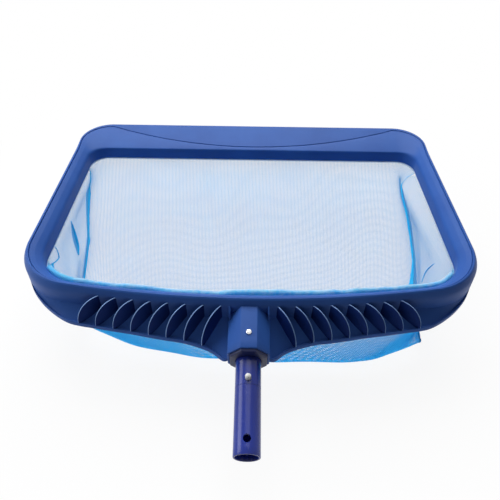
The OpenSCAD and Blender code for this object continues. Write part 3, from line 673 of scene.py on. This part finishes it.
def build_frame():
    piece("outer_frame_ring", ring_loft(frame_profile), FRAME_MAT, node="outer_frame")
    skirt, ribs, block = Parts(), Parts(), Parts()
    socket(block)
    for side in (1, -1):
        apron(skirt, side)
        socket_tab(block, side)
        for j in range(8):
            rib(ribs, 33 + 20.4 * j, 55 + 20.85 * j, side)
    piece("rear_apron", skirt, FRAME_MAT)
    ob = piece("apron_ribs", ribs, RIB_MAT, angle=50)
    # Painted glint along the middle of each rib's rounded free edge.
    set_values(ob, "edge", np.tile([0, 0, 0, 0.6, 1, 0.6, 0, 0, 0], len(ribs.v) // 9))
    piece("pole_socket", block, FRAME_MAT, angle=30)
    piece("net_retainer_ring", ring_loft(retainer_profile), RIM_MAT, node="net_retainer")


build_frame()


# ---- plug, tube, clip, buttons, screw
def circle(r, n):
    """n points (x, y) round a circle."""
    a = round_turn(n)
    return np.stack([r * np.cos(a), r * np.sin(a)], 1)


def zipper(a, b, start_a, start_b):
    """Triangles between two closed loops that go the same way round their common centre."""
    ta, tb = (np.unwrap(np.arctan2(p[:, 1], p[:, 0])) for p in (a, b))
    tb = tb + 2 * np.pi * round((ta[0] - tb[0]) / (2 * np.pi))
    way = np.sign(ta[-1] - ta[0])
    ta, tb = (np.r_[way * t, way * t[0] + 2 * np.pi, np.inf] for t in (ta, tb))
    na, nb = len(a), len(b)
    i = j = 0
    out = []
    while i < na or j < nb:
        here_a, here_b = start_a + i % na, start_b + j % nb
        if ta[i + 1] <= tb[j + 1]:
            i += 1
            out.append((here_a, start_a + i % na, here_b))
        else:
            j += 1
            out.append((here_a, start_b + j % nb, here_b))
    return out


def build_plug():
    phw, phh = SOCKET_HW - SOCKET_WALL - PLUG_GAP, SOCKET_HH - SOCKET_WALL - PLUG_GAP
    sec = octagon(phw, phh, 12.9, 14.1, 0.9)
    face, mouth, hole = scaled(sec, 0.95), circle(TUBE_R + 0.7, 96), circle(TUBE_R + 0.08, 96)
    n, m = len(sec), len(hole)
    v = []
    for loop, s in ((sec, INNER_END_S), (sec, TUBE_OUT + 1.0), (scaled(sec, 0.35), TUBE_OUT + 0.3),
                    (face, TUBE_OUT), (mouth, TUBE_OUT), (hole, TUBE_OUT + 0.7), (hole, INNER_END_S)):
        v += across(loop, s)
    f = grid_faces(4, n, False, True) + grid_faces(3, m, False, True, 4 * n)
    f += zipper(face, mouth, 3 * n, 4 * n) + zipper(sec, hole, 0, 4 * n + 2 * m)
    piece("handle_plug_block", Parts(v, f), PLUG_MAT, angle=30, node="handle_plug")


def lathe(profile, n):
    """Rows of a form turned about the tube's axis, from (s, r) pairs."""
    return [across(circle(r, n), s) for s, r in profile]


def turned(profile, n, s0, sign=1):
    """Rows of a form turned about an axis square to the tube at s0, from (r, d) pairs."""
    return [[on_axis(x, s0 + y, sign * d) for x, y in circle(r, n)] for r, d in profile]


def cut(target, cutters):
    """Boolean difference, applied, with the cutters removed."""
    for c in cutters:
        mod = target.modifiers.new("cut", "BOOLEAN")
        mod.operation, mod.solver, mod.object = "DIFFERENCE", "EXACT", c
    dg = bpy.context.evaluated_depsgraph_get()
    made = bpy.data.meshes.new_from_object(target.evaluated_get(dg))
    target.modifiers.clear()
    made.name = target.data.name
    target.data = made
    for c in cutters:
        bpy.data.objects.remove(c)
    made.shade_smooth()
    made.set_sharp_from_angle(angle=math.radians(30))


def cutter(rows):
    """A closed form for cut to take away."""
    return placed("cutter", mesh("cutter", Parts().loft(rows)))


def build_tube():
    prof = [(s, TUBE_R) for s in (INNER_END_S, 120.0, 95.0, 84.0, 76.0, 73.1)]
    prof += [(72.85, TUBE_R - 0.22), (72.0, TUBE_R - 0.25), (71.75, TUBE_R), (66.0, TUBE_R), (24.0, TUBE_R),
             (8.0, TUBE_R), (0.7, TUBE_R), (0.2, TUBE_R - 0.2), (0.0, TUBE_R - 0.6),
             (0.0, BORE_R + 0.45), (0.15, BORE_R + 0.15), (0.5, BORE_R), (40.0, BORE_R),
             (INNER_END_S, BORE_R)]
    ob = piece("handle_tube_body", Parts().loft(lathe(prof, 128), closed=True), TUBE_MAT,
               angle=30, node="handle_tube")
    cuts = []
    for s0, r in ((BUTTON_S, BUTTON_R + 0.35), (PIN_S, PIN_R)):
        flare = [(r + 0.9, TUBE_R + 1.0), (r + 0.45, TUBE_R - 0.05), (r, TUBE_R - 0.55)]
        prof = [(q, -d) for q, d in flare] + flare[::-1]
        cuts.append(cutter(turned(prof, 48, s0)))
    cuts.append(cutter(turned([(1.8, 5.0), (1.8, TUBE_R + 2)], 24, SCREW_S)))
    cut(ob, cuts)


def build_buttons():
    """Both snap buttons, domed, with a flange inside the tube and a stub through the clip's leg."""
    flange_top = math.sqrt(BORE_R ** 2 - (BUTTON_R + 1.3) ** 2) - 0.35
    strip_top = flange_top - 1.25
    crown = TUBE_R + BUTTON_RISE
    prof = [(0.001, strip_top - 1.3), (1.6, strip_top - 1.3), (1.75, strip_top - 1.1),
            (1.75, strip_top + 0.05), (BUTTON_R + 1.1, strip_top + 0.05), (BUTTON_R + 1.3, strip_top + 0.25),
            (BUTTON_R + 1.3, flange_top - 0.2), (BUTTON_R + 1.1, flange_top), (BUTTON_R + 0.15, flange_top),
            (BUTTON_R, flange_top + 0.2), (BUTTON_R, crown - 2.6)]
    prof += [(BUTTON_R * math.cos(a), crown - 2.6 + 2.6 * math.sin(a)) for a in np.linspace(0.12, 1.45, 10)]
    prof += [(0.001, crown)]
    for name, body, node, sign in (("snap_button_top", BTN_UP, "button_top", 1),
                                   ("snap_button_bottom", BTN_LOW, "button_bottom", -1)):
        form = Parts().loft(turned(prof, 40, BUTTON_S, sign))
        piece(name, form, BUTTON_MAT, angle=45, body=body, node=node)
    return strip_top


def build_clip(strip_top):
    """Two legs of one bent strip, one above the tube and one below."""
    bend_s, t, w = FACE_S + 4, 0.7, 9.0
    mid = [(BUTTON_S - 5, strip_top - t / 2), (BUTTON_S + 6, strip_top - t / 2), (bend_s - 6, 6.0),
           (bend_s - 2.5, 4.4), (bend_s - 0.4, 1.8), (bend_s, 0.0)]
    path = smooth_path(mid, 5)
    for name, body, sign in (("clip_leg_top", BTN_UP, 1), ("clip_leg_bottom", BTN_LOW, -1)):
        rows = []
        for k, (c, n) in enumerate(zip(path, beside(path))):
            half = w / 2 * (0.55 + 0.45 * min(1.0, k / 3))
            rows.append([on_axis(x, (c + n * o)[0], sign * (c + n * o)[1])
                         for x, o in ((-half, -t / 2 + 0.1), (-half + 0.1, -t / 2), (half - 0.1, -t / 2),
                                      (half, -t / 2 + 0.1), (half, t / 2 - 0.1), (half - 0.1, t / 2),
                                      (-half + 0.1, t / 2), (-half, t / 2 - 0.1))])
        ob = piece(name, Parts().loft(rows), STEEL_MAT, angle=30, body=None,
                   node="clip_spring" if sign > 0 else None)
        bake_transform(ob)


def build_screw():
    """Pan-head screw with a threaded shank and a cross recess."""
    top = SOCKET_HH + 0.05
    prof = [(0.001, top - 21.0), (1.75, top - 18.6)]
    for k in range(14):
        d = top - 17.8 + k * 1.2
        prof += [(1.75, d), (1.45, d + 0.6)]
    prof += [(r, top + d) for r, d in ((1.75, -0.3), (1.75, 0), (3.1, 0), (3.3, 0.2), (3.3, 0.7), (3.15, 1.2),
                                       (2.7, 1.7), (1.9, 2.05), (0.9, 2.2), (0.001, 2.24))]
    ob = piece("socket_screw_pan_head", Parts().loft(turned(prof, 40, SCREW_S)), SCREW_MAT,
               angle=40, node="socket_screw")
    cuts = []
    for turn in (0.35, 0.35 + math.pi / 2):
        c, s = math.cos(turn), math.sin(turn)
        rows = []
        for d, a, b in ((top + 0.75, 0.9, 0.22), (top + 1.5, 1.75, 0.36), (top + 3, 2.1, 0.5)):
            rows.append([on_axis(x * c - y * s, SCREW_S + x * s + y * c, d)
                         for x, y in ((-a, -b), (a, -b), (a, b), (-a, b))])
        cuts.append(cutter(rows))
    cut(ob, cuts)


build_plug()
build_tube()
build_clip(build_buttons())
build_screw()


# ---- net bag
HEM_E = TRIM_T + HEM_SLOT / 2
BAG_TOP = -RING_H - 3 - 0.3 - 0.4
BAG_DEPTH, BAG_SAG = 118.0, 9.0
BOTTOM_LEFT, BOTTOM_RIGHT = 218.0, 222.0
WALL_PULL = 13.0
REAR_LAST = SEG_NEAR + SEG_C
LIP_FIRST = SEG_NEAR + SEG_C + SEG_SIDE
PITCH, BODY_THREAD, SIDE_THREAD, THREAD_LIFT = 2.0, 0.26, 0.23, 0.1


def run_along(p):
    """How far along a line each of its points lies."""
    return np.r_[0, np.cumsum(np.linalg.norm(np.diff(p, axis=0), axis=1))]


def arc_resample(p, n):
    """n points evenly spaced along a line."""
    p = np.asarray(p, float)
    run = run_along(p)
    s = np.linspace(0, run[-1], n)
    return np.stack([np.interp(s, run, p[:, k]) for k in range(p.shape[1])], 1)


def rim_line(stations, n):
    """The net's top edge in the hem, along the ring's stations."""
    return arc_resample([ate(i % RING_N, HEM_E, BAG_TOP) for i in stations], n)


NF, NT = 165, 150
REAR_RIM = rim_line(range(-REAR_LAST, REAR_LAST + 1), NF)
LIP_RIM = rim_line(range(RING_N - LIP_FIRST, LIP_FIRST - 1, -1), NF)

# Outward shift of each seam, in mm, at the fractions SHIFT_AT from the bottom corner to the lip rim.
SHIFT_AT = [0, 0.06, 0.12, 0.2, 0.28, 0.36, 0.44, 0.52, 0.6, 0.68, 0.76, 0.84, 0.92, 0.97, 1.0]
SHIFT = {-1: [0, 2, 6, 8.5, 8, 6, 4, 2, 2.5, 3, 2.6, 1.5, -2, -2, 0],
         1: [0, 2, 1, -1, -3, -1.5, -1, -2.5, -5, -8, -12, -18, -22, -13, 0]}

# The bag's bottom edge seen from below: x, and how far it lies in from the ring's rear.
BOTTOM_X = [-215, -201, -178, -154, -127, -100, -75, -49, 0, 34, 96, 130, 158, 165, 182, 204, 227]
BOTTOM_Y = [50, 40.5, 30.5, 22, 15, 10, 6.5, 4, 2, 1, 1.5, 2, 3.5, 6, 13.5, 23.5, 35]


def bottom_line(f):
    """The bottom edge at the fraction f across: x, distance in from the ring's rear, and rise."""
    c = 2 * f - 1
    x = (BOTTOM_LEFT if c < 0 else BOTTOM_RIGHT) * c
    y = np.interp(x + 9 * np.linspace(-1, 1, 7), BOTTOM_X, BOTTOM_Y).mean()
    return x, y, (7.0 if c < 0 else 3.0) * c ** 4


def bag_grid():
    """Positions over the bag's long panel: rows from the left seam to the right, columns from the rear rim
    down the rear wall, round the bottom and up the sloping floor to the lip rim."""
    g = np.zeros((NF, NT, 3))
    rng = np.random.default_rng(7)
    ph = rng.uniform(0, 6.28, 12)
    for j in range(NF):
        f = j / (NF - 1)
        c = 2 * f - 1
        bx, by, bz = bottom_line(f)
        by, bz = YO + by, CREST_Z - BAG_DEPTH + bz
        low_n, low_f = np.array([bx, by, bz + 11]), np.array([bx * 0.995, by + 12, bz])
        corner = np.array([bx, by + 0.5, bz + 0.5])
        t = np.linspace(0, 1, 30)[:, None]
        wall = REAR_RIM[j] + (low_n - REAR_RIM[j]) * t - np.array([0, 4, 0]) * np.sin(np.pi * t)
        b = np.linspace(0, 1, 10)[1:, None]
        turn = (1 - b) ** 2 * low_n + 2 * b * (1 - b) * corner + b * b * low_f
        t = np.linspace(0, 1, 70)[1:, None]
        floor = low_f + (LIP_RIM[j] - low_f) * t - np.array([0, 0, BAG_SAG]) * np.sin(np.pi * t)
        side = -1 if c < 0 else 1
        near_seam = math.exp(-((1 - abs(c)) / 0.10) ** 2)
        shift = np.interp(t[:, 0], SHIFT_AT, SHIFT[side])
        floor[:, 0] += side * shift * near_seam
        if side > 0:
            wall[:, 0] -= WALL_PULL * near_seam * np.sin(np.pi * np.linspace(0, 1, 30) ** 2)
        g[j] = arc_resample(np.vstack([wall, turn, floor]), NT)
    f = np.linspace(0, 1, NF)[:, None]
    t = np.linspace(0, 1, NT)[None, :]
    hold = np.clip(np.minimum(np.minimum(f, 1 - f) / 0.06, np.minimum(t, 1 - t) / 0.05), 0, 1)
    wave = (1.5 * np.sin(19 * f + 5 * t + ph[0]) * np.sin(3.1 * t + ph[1])
            + 1.0 * np.sin(9 * t + 7 * f + ph[2]) + 0.7 * np.sin(31 * f - 8 * t + ph[3])
            + 0.7 * np.sin(46 * f + 3 * t + ph[4]) * np.clip(1 - t / 0.2, 0, 1) * 2.2)
    return g + grid_normals(g) * (wave * hold)[:, :, None]


def lookup_grid(g, f, t):
    """Bilinear position on a grid at the fractions f and t, which are arrays of one shape."""
    a, b = f * (g.shape[0] - 1), t * (g.shape[1] - 1)
    i, j = np.clip(a.astype(int), 0, g.shape[0] - 2), np.clip(b.astype(int), 0, g.shape[1] - 2)
    u, v = (a - i)[..., None], (b - j)[..., None]
    return (g[i, j] * (1 - u) * (1 - v) + g[i + 1, j] * u * (1 - v)
            + g[i, j + 1] * (1 - u) * v + g[i + 1, j + 1] * u * v)


def grid_normals(g):
    return unit(np.cross(np.gradient(g, axis=0), np.gradient(g, axis=1)))


def strands(g, nrm, f, t, lift, uv, painted_glow):
    """Threads over a grid, along the last axis of f and t, lifted off it: points, normals, UVs and painted
    glow.
    """
    n = lookup_grid(nrm, f, t)
    return lookup_grid(g, f, t) + lift * n, n, np.stack(uv, -1), painted_glow


def thread_mesh(name, node, sets, radius):
    """Three-sided closed threads, thicker where their painted glow is strong, from sets of strands."""
    verts, faces, uvs, painted_glows = [], [], [], []
    base = 0
    for pts, nrm, uv, painted_glow in sets:
        m, k = pts.shape[:2]
        tan = unit(np.gradient(pts, axis=1))
        bi = unit(np.cross(tan, nrm))
        up = np.cross(bi, tan)
        r = (radius * (1 + 0.6 * np.clip(painted_glow, 0, 1)))[:, :, None]
        ring = np.stack([pts + r * (math.cos(a) * up + math.sin(a) * bi)
                         for a in (0.0, 2 * math.pi / 3, 4 * math.pi / 3)], 2)
        verts.append(ring.reshape(-1, 3))
        idx = base + np.arange(m * k * 3).reshape(m, k, 3)
        a, b = idx[:, :-1], idx[:, 1:]
        for q in range(3):
            r = (q + 1) % 3
            faces.append(np.stack([a[:, :, q], b[:, :, q], b[:, :, r], a[:, :, r]], -1).reshape(-1, 4))
        faces += [idx[:, 0, ::-1], idx[:, -1]]
        uvs.append((uv[:, :, None] + np.array([[0.0], [0.0006], [-0.0006]])).reshape(-1, 2))
        painted_glows.append(np.repeat(painted_glow.ravel(), 3))
        base += idx.size
    form = Parts(np.concatenate(verts), [f for block in faces for f in block])
    ob = piece(name, form, NET_MAT, angle=0, node=node, recalc=False)
    me = ob.data
    uv = np.clip(np.concatenate(uvs), 0.001, 0.999)
    loops = np.empty(len(me.loops), np.int32)
    me.loops.foreach_get("vertex_index", loops)
    layer = me.uv_layers.new(name="OFBake", do_init=False)
    layer.uv.foreach_set("vector", uv[loops].astype(np.float32).ravel())
    set_values(ob, "painted_glow", np.concatenate(painted_glows))
    return ob


def body_painted_glow(f, t):
    """Painted glow for light shining through the net: full on the rear wall, at the seams and rims; pale over
    the floor.
    """
    d = np.clip((0.32 - t) / 0.08, 0, 1)
    d = np.maximum(d, 0.55 * np.exp(-np.minimum(f, 1 - f) / 0.012))
    d = np.maximum(d, 0.22 * np.clip((t - 0.62) / 0.3, 0, 1))
    return np.clip(d, 0, 1)


def build_body(g):
    """The long panel as crossing threads: warp from rear rim to lip rim, weft from seam to seam."""
    nrm = grid_normals(g)
    n_warp, n_weft = int(480 / PITCH), int(run_along(g[NF // 2])[-1] / PITCH)
    k_warp, k_weft = 56, 62
    f, t = np.meshgrid((np.arange(n_warp) + 0.5) / n_warp, np.linspace(0, 1, k_warp), indexing="ij")
    warp = strands(g, nrm, f, t, THREAD_LIFT, (f, t), body_painted_glow(f, t))
    t, f = np.meshgrid((np.arange(n_weft) + 0.5) / n_weft, np.linspace(0, 1, k_weft), indexing="ij")
    weft = strands(g, nrm, f, t, -THREAD_LIFT, (f, t), body_painted_glow(f, t))
    return thread_mesh("net_body", "bag_body", [warp, weft], BODY_THREAD)


def side_grid(g, side):
    """The side panel between the two legs of the seam: rows from the rim down, columns from rear to lip."""
    row = g[0] if side < 0 else g[-1]
    bottom = int(np.argmin(row[:, 2] + 0.02 * row[:, 1]))
    near = arc_resample(row[:bottom + 1], 60)
    far = arc_resample(row[bottom:][::-1], 60)
    rim = rim_line(range(REAR_LAST, LIP_FIRST + 1), 60)
    if side < 0:
        rim = rim * (-1, 1, 1)
    cols = 90
    s = np.linspace(0, 1, cols)[None, :, None]
    q = np.linspace(0, 1, 60)[:, None, None]
    grid = near[:, None] + (far[:, None] - near[:, None]) * s
    top = arc_resample(rim, cols)[None]
    grid = grid + (top - grid[:1]) * (1 - q) ** 3
    middle = np.sin(np.pi * s) * np.sin(np.pi * q)
    grid[:, :, 0:1] += (side * 1.5 + 0.4 * np.sin(14 * s + 5 * q + side)) * middle
    return grid


def build_side(g, side, name, node):
    """A side panel as crossing threads: one set level, the other running down at even y."""
    s_grid = side_grid(g, side)
    nrm = grid_normals(s_grid)

    def thread(q, s, lift):
        q, s = q[None], s[None]
        # Painted glow, stronger towards the seams.
        painted_glow = 0.15 + 0.5 * np.exp(-np.minimum(s, 1 - s) / 0.03)
        return strands(s_grid, nrm, q, s, lift, (s, q), painted_glow)

    sets = []
    n_rows = int(run_along(s_grid[:, 45])[-1] / PITCH)
    for r in range(n_rows):
        q = (r + 0.5) / n_rows
        ends = lookup_grid(s_grid, np.full(2, q), np.array([0.0, 1.0]))
        width = float(np.linalg.norm(ends[1] - ends[0]))
        if width < 3:
            continue
        k = max(3, int(width / 7))
        sets.append(thread(np.full(k, q), np.linspace(0.0, 1.0, k), THREAD_LIFT))
    qs = np.linspace(0, 1, 120)
    near_y = lookup_grid(s_grid, qs, np.zeros(120))[:, 1]
    far_y = lookup_grid(s_grid, qs, np.ones(120))[:, 1]
    for y in np.arange(near_y.min() + 1, far_y.max(), PITCH):
        s = (y - near_y) / np.maximum(far_y - near_y, 1e-3)
        inside = np.where((s >= 0) & (s <= 1))[0]
        if len(inside) < 6:
            continue
        lo, hi = inside[0], inside[-1]
        pick = np.linspace(lo, hi, max(3, int((hi - lo) / 7))).astype(int)
        sets.append(thread(qs[pick], np.clip(s[pick], 0, 1), -THREAD_LIFT))
    return thread_mesh(name, node, sets, SIDE_THREAD)


def ribbon(parts, path, radii, thick=0.6, n=12):
    """Closed flat ribbon through the points, radii wide to each side and thick to each side."""
    rows = []
    for p, t, r in zip(path, along(path), radii):
        a = unit(np.cross(t, (1.0, 0, 0)))
        b = np.cross(t, a)
        rows.append([p + a * min(thick, r) * math.cos(q) + b * r * math.sin(q)
                     for q in round_turn(n)])
    parts.loft(rows)


# The hem's turned-up edge along the mouth's rear: x, and height from the crest.
HEM_X = [-250, -240, -205, -183, -165, -145, -119, -111, -85, -64, -38, -26, -4, 25, 68, 100, 115, 128, 150,
         175, 190, 208, 223, 236]
HEM_Z = [-9.0, -6.5, -6.5, -8.2, -8.9, -7.1, -7.4, -9.6, -10.7, -9.9, -10.8, -7.8, -6.2, -5.8, -8.0, -7.9,
         -8.8, -6.6, -7.5, -7.9, -7.0, -7.2, -8.4, -10.5]


def hem_top(i):
    """Height of the hem's edge from the crest at station i; it is turned up along the rear only."""
    x, y = INN[i]
    top = np.interp(x, HEM_X, HEM_Z) + 0.25 * math.sin(0.21 * x)
    return HEM_REST + (top - HEM_REST) * float(np.clip((YI + 62 - y) / 20, 0, 1))


def build_hem():
    """Hem band clamped in the slot, turned up inside the skirt along the rear; the cord lies in its fold."""
    t = 0.45
    short = np.array([(6.4, -19.1), (3.0, -19.1), (3.0, -26.0), (3.0, -30.9), (2.6, -31.7), (1.9, -32.1),
                      (1.3, -32.1), (0.9, -31.9), (0.7, -31.6), (0.55, -31.3), (0.45, -31.05), (0.4, -30.8)])
    rows, painted_glow = [], []
    for i in range(RING_N):
        z_top = hem_top(i)
        lean = np.clip((z_top - HEM_REST) / 18.0, 0, 1)
        tall = np.array([(6.4, -19.1), (3.0, -19.1), (3.0, -26.0), (3.0, -32.2), (2.2, -34.0), (0.6, -34.6),
                         (-0.8, -33.6), (-0.8, -31.6), (-0.7, -32.4 + (z_top + 31.4) * 0.55),
                         (-1.0, z_top - 2.6), (-2.8, z_top - 1.5), (-5.7, z_top - 1.7)])
        path = short + (tall - short) * lean
        off = beside(path) * t
        loop = np.vstack([path + off, (path - off)[::-1]])
        rows.append([ate(i, e, z) for e, z in loop])
        # Painted glow for light shining through the turned-up band: stronger at the near-left corner, weaker
        # at its tip.
        glow_strength = 1.3 if OUT[i][0] < -225 and lean > 0 else 0.75
        painted_glow += [glow_strength * lean * (0.3 if k in (len(path) - 1, len(path)) else 1.0) for k in range(len(loop))]
    hem = piece("net_hem_band", Parts().loft(rows, closed=True), HEM_MAT, angle=0,
                node="bag_hem")
    set_values(hem, "painted_glow", painted_glow)
    rows = []
    c = HEM_E + 0.5 + CLAMP_T + 1.1 + 1.6
    for i in range(RING_N):
        r = 1.55 + 0.06 * math.sin(i * 1.9)
        rows.append([ate(i, c + r * math.cos(a), -20.5 + r * math.sin(a)) for a in round_turn(10)])
    cord = piece("hem_draw_cord", Parts().loft(rows, closed=True), CORD_MAT, angle=0,
                 node="hem_cord")
    return hem, cord


# Pinched tucks in the side panels: (down, across, half width in mm) along each one.
TUCKS = {
    -1: [[(0.08, 0.47, 0.5), (0.16, 0.51, 1.9), (0.22, 0.53, 3.0), (0.30, 0.56, 3.6), (0.37, 0.59, 3.0),
          (0.44, 0.60, 1.0)],
         [(0.02, 0.135, 0.5), (0.085, 0.15, 0.7), (0.15, 0.146, 1.0), (0.136, 0.09, 1.2), (0.10, 0.03, 1.9),
          (0.12, 0.012, 2.4), (0.17, 0.010, 2.2), (0.25, 0.022, 0.8)],
         [(0.40, 0.20, 0.3), (0.44, 0.22, 0.8), (0.48, 0.23, 0.3)]],
    1: [[(0.22, 0.225, 0.4), (0.34, 0.326, 1.1), (0.42, 0.393, 0.9), (0.525, 0.449, 0.5)],
        [(0.50, 0.955, 0.3), (0.51, 0.87, 0.6), (0.54, 0.876, 0.6), (0.60, 0.933, 0.4)]]}


# Half width of each seam in mm: fractions from the rear rim round the bottom to the lip rim, and widths.
SEAM_WIDTH = {
    -1: ([0, 0.3, 0.47, 0.56, 0.63, 0.65, 0.67, 0.77, 0.84, 0.87, 0.89, 0.915, 1],
         [1.0, 1.2, 2.1, 2.2, 2.2, 2.8, 1.9, 2.5, 3.3, 3.9, 3.2, 1.1, 0.8]),
    1: ([0, 0.3, 0.45, 0.49, 0.52, 0.56, 0.6, 0.67, 0.75, 0.85, 0.9, 0.925, 0.95, 1],
        [1.0, 1.1, 5.5, 6.6, 4.8, 3.3, 2.4, 2.6, 3.0, 2.6, 1.7, 0.8, 0.3, 0.25])}


def build_seams(g):
    """Both seams as folded tape, each with the tucks of its side panel."""
    made = []
    for side, row, name, node in ((-1, g[0], "side_seam_left", "seam_left"),
                                  (1, g[-1], "side_seam_right", "seam_right")):
        path = row[4:-1]
        run = np.linspace(0, 1, len(path))
        rad = np.interp(run, *SEAM_WIDTH[side])
        tape = Parts()
        ribbon(tape, path, rad * (1 + 0.06 * np.sin(run * 260) + 0.05 * np.sin(run * 71)))
        for line in TUCKS[side]:
            line = smooth_path(line, 6)
            down, over = np.clip(line[:, :2], 0, 1).T
            ribbon(tape, lookup_grid(side_grid(g, side), down, over), line[:, 2], thick=0.5)
        made.append(piece(name, tape, SEAM_MAT, angle=0, node=node))
    return made


def build_bag():
    g = bag_grid()
    body = build_body(g)
    hem, cord = build_hem()
    seams = build_seams(g)
    for side, name, node, area in ((-1, "net_side_left", "bag_side_left", 0.0117),
                                   (1, "net_side_right", "bag_side_right", 0.0140)):
        ob = build_side(g, side, name, node)


build_bag()


# ---- stage and light
def make_stage():
    """White floor that keeps a soft shadow below the net and fades to plain white around it."""
    me = bpy.data.meshes.new("floor")
    s, z = 12.0, -0.060
    me.from_pydata([(-s, -s, z), (s, -s, z), (s, s, z), (-s, s, z)], [], [(0, 1, 2, 3)])
    m, t, out, coord = new_material("floor_white")
    centre = t.add("ShaderNodeVectorMath", {0: coord, 1: (0.0, 0.35, 0.0)}, operation="DISTANCE")
    own_share = t.ramp(centre.outputs["Value"], 0.25, 0.60, 0.90, 1.0)
    seen = t.math("MULTIPLY", t.white_ray(), own_share)
    lit = t.add("ShaderNodeBsdfDiffuse", {"Color": (0.93, 0.93, 0.94, 1)})
    own = t.add("ShaderNodeEmission", {"Color": (1, 1, 1, 1), "Strength": 1.0})
    mixed = t.add("ShaderNodeMixShader", {0: seen, 1: lit.outputs[0], 2: own.outputs[0]})
    t.tree.links.new(mixed.outputs[0], out.inputs[0])
    me.materials.append(m)
    placed("floor", me)


def make_world():
    w = bpy.data.worlds.new("world")
    bpy.context.scene.world = w
    w.use_nodes = True
    t = Nodes(w.node_tree)
    out = t.add("ShaderNodeOutputWorld")
    fill = t.add("ShaderNodeBackground", {"Color": (1, 1, 1, 1), "Strength": 0.045})
    white = t.add("ShaderNodeBackground", {"Color": (1, 1, 1, 1), "Strength": 1.0})
    mixed = t.add("ShaderNodeMixShader", {0: t.white_ray(), 1: fill.outputs[0], 2: white.outputs[0]})
    t.tree.links.new(mixed.outputs[0], out.inputs[0])


def area_light(name, place, size, power):
    """Rectangular soft light, in watts, that faces the middle of the net."""
    target = (0, 0.3, 0.05)
    lamp = bpy.data.lights.new(name, "AREA")
    lamp.shape, lamp.size, lamp.size_y = "RECTANGLE", size[0], size[1]
    lamp.energy = power
    ob = placed(name, lamp)
    ob.location = place
    ob.rotation_euler = (Vector(target) - Vector(place)).to_track_quat("-Z", "Y").to_euler()


make_stage()
make_world()
area_light("back_softbox", (-0.2, 1.5, 1.7), (2.0, 1.2), 45.0)
area_light("left_softbox", (-1.6, 0.35, 0.8), (1.0, 1.0), 13.0)
area_light("top_soft", (0.1, 0.6, 2.0), (1.4, 1.0), 7.0)
bpy.context.scene.view_settings.view_transform = "Standard"
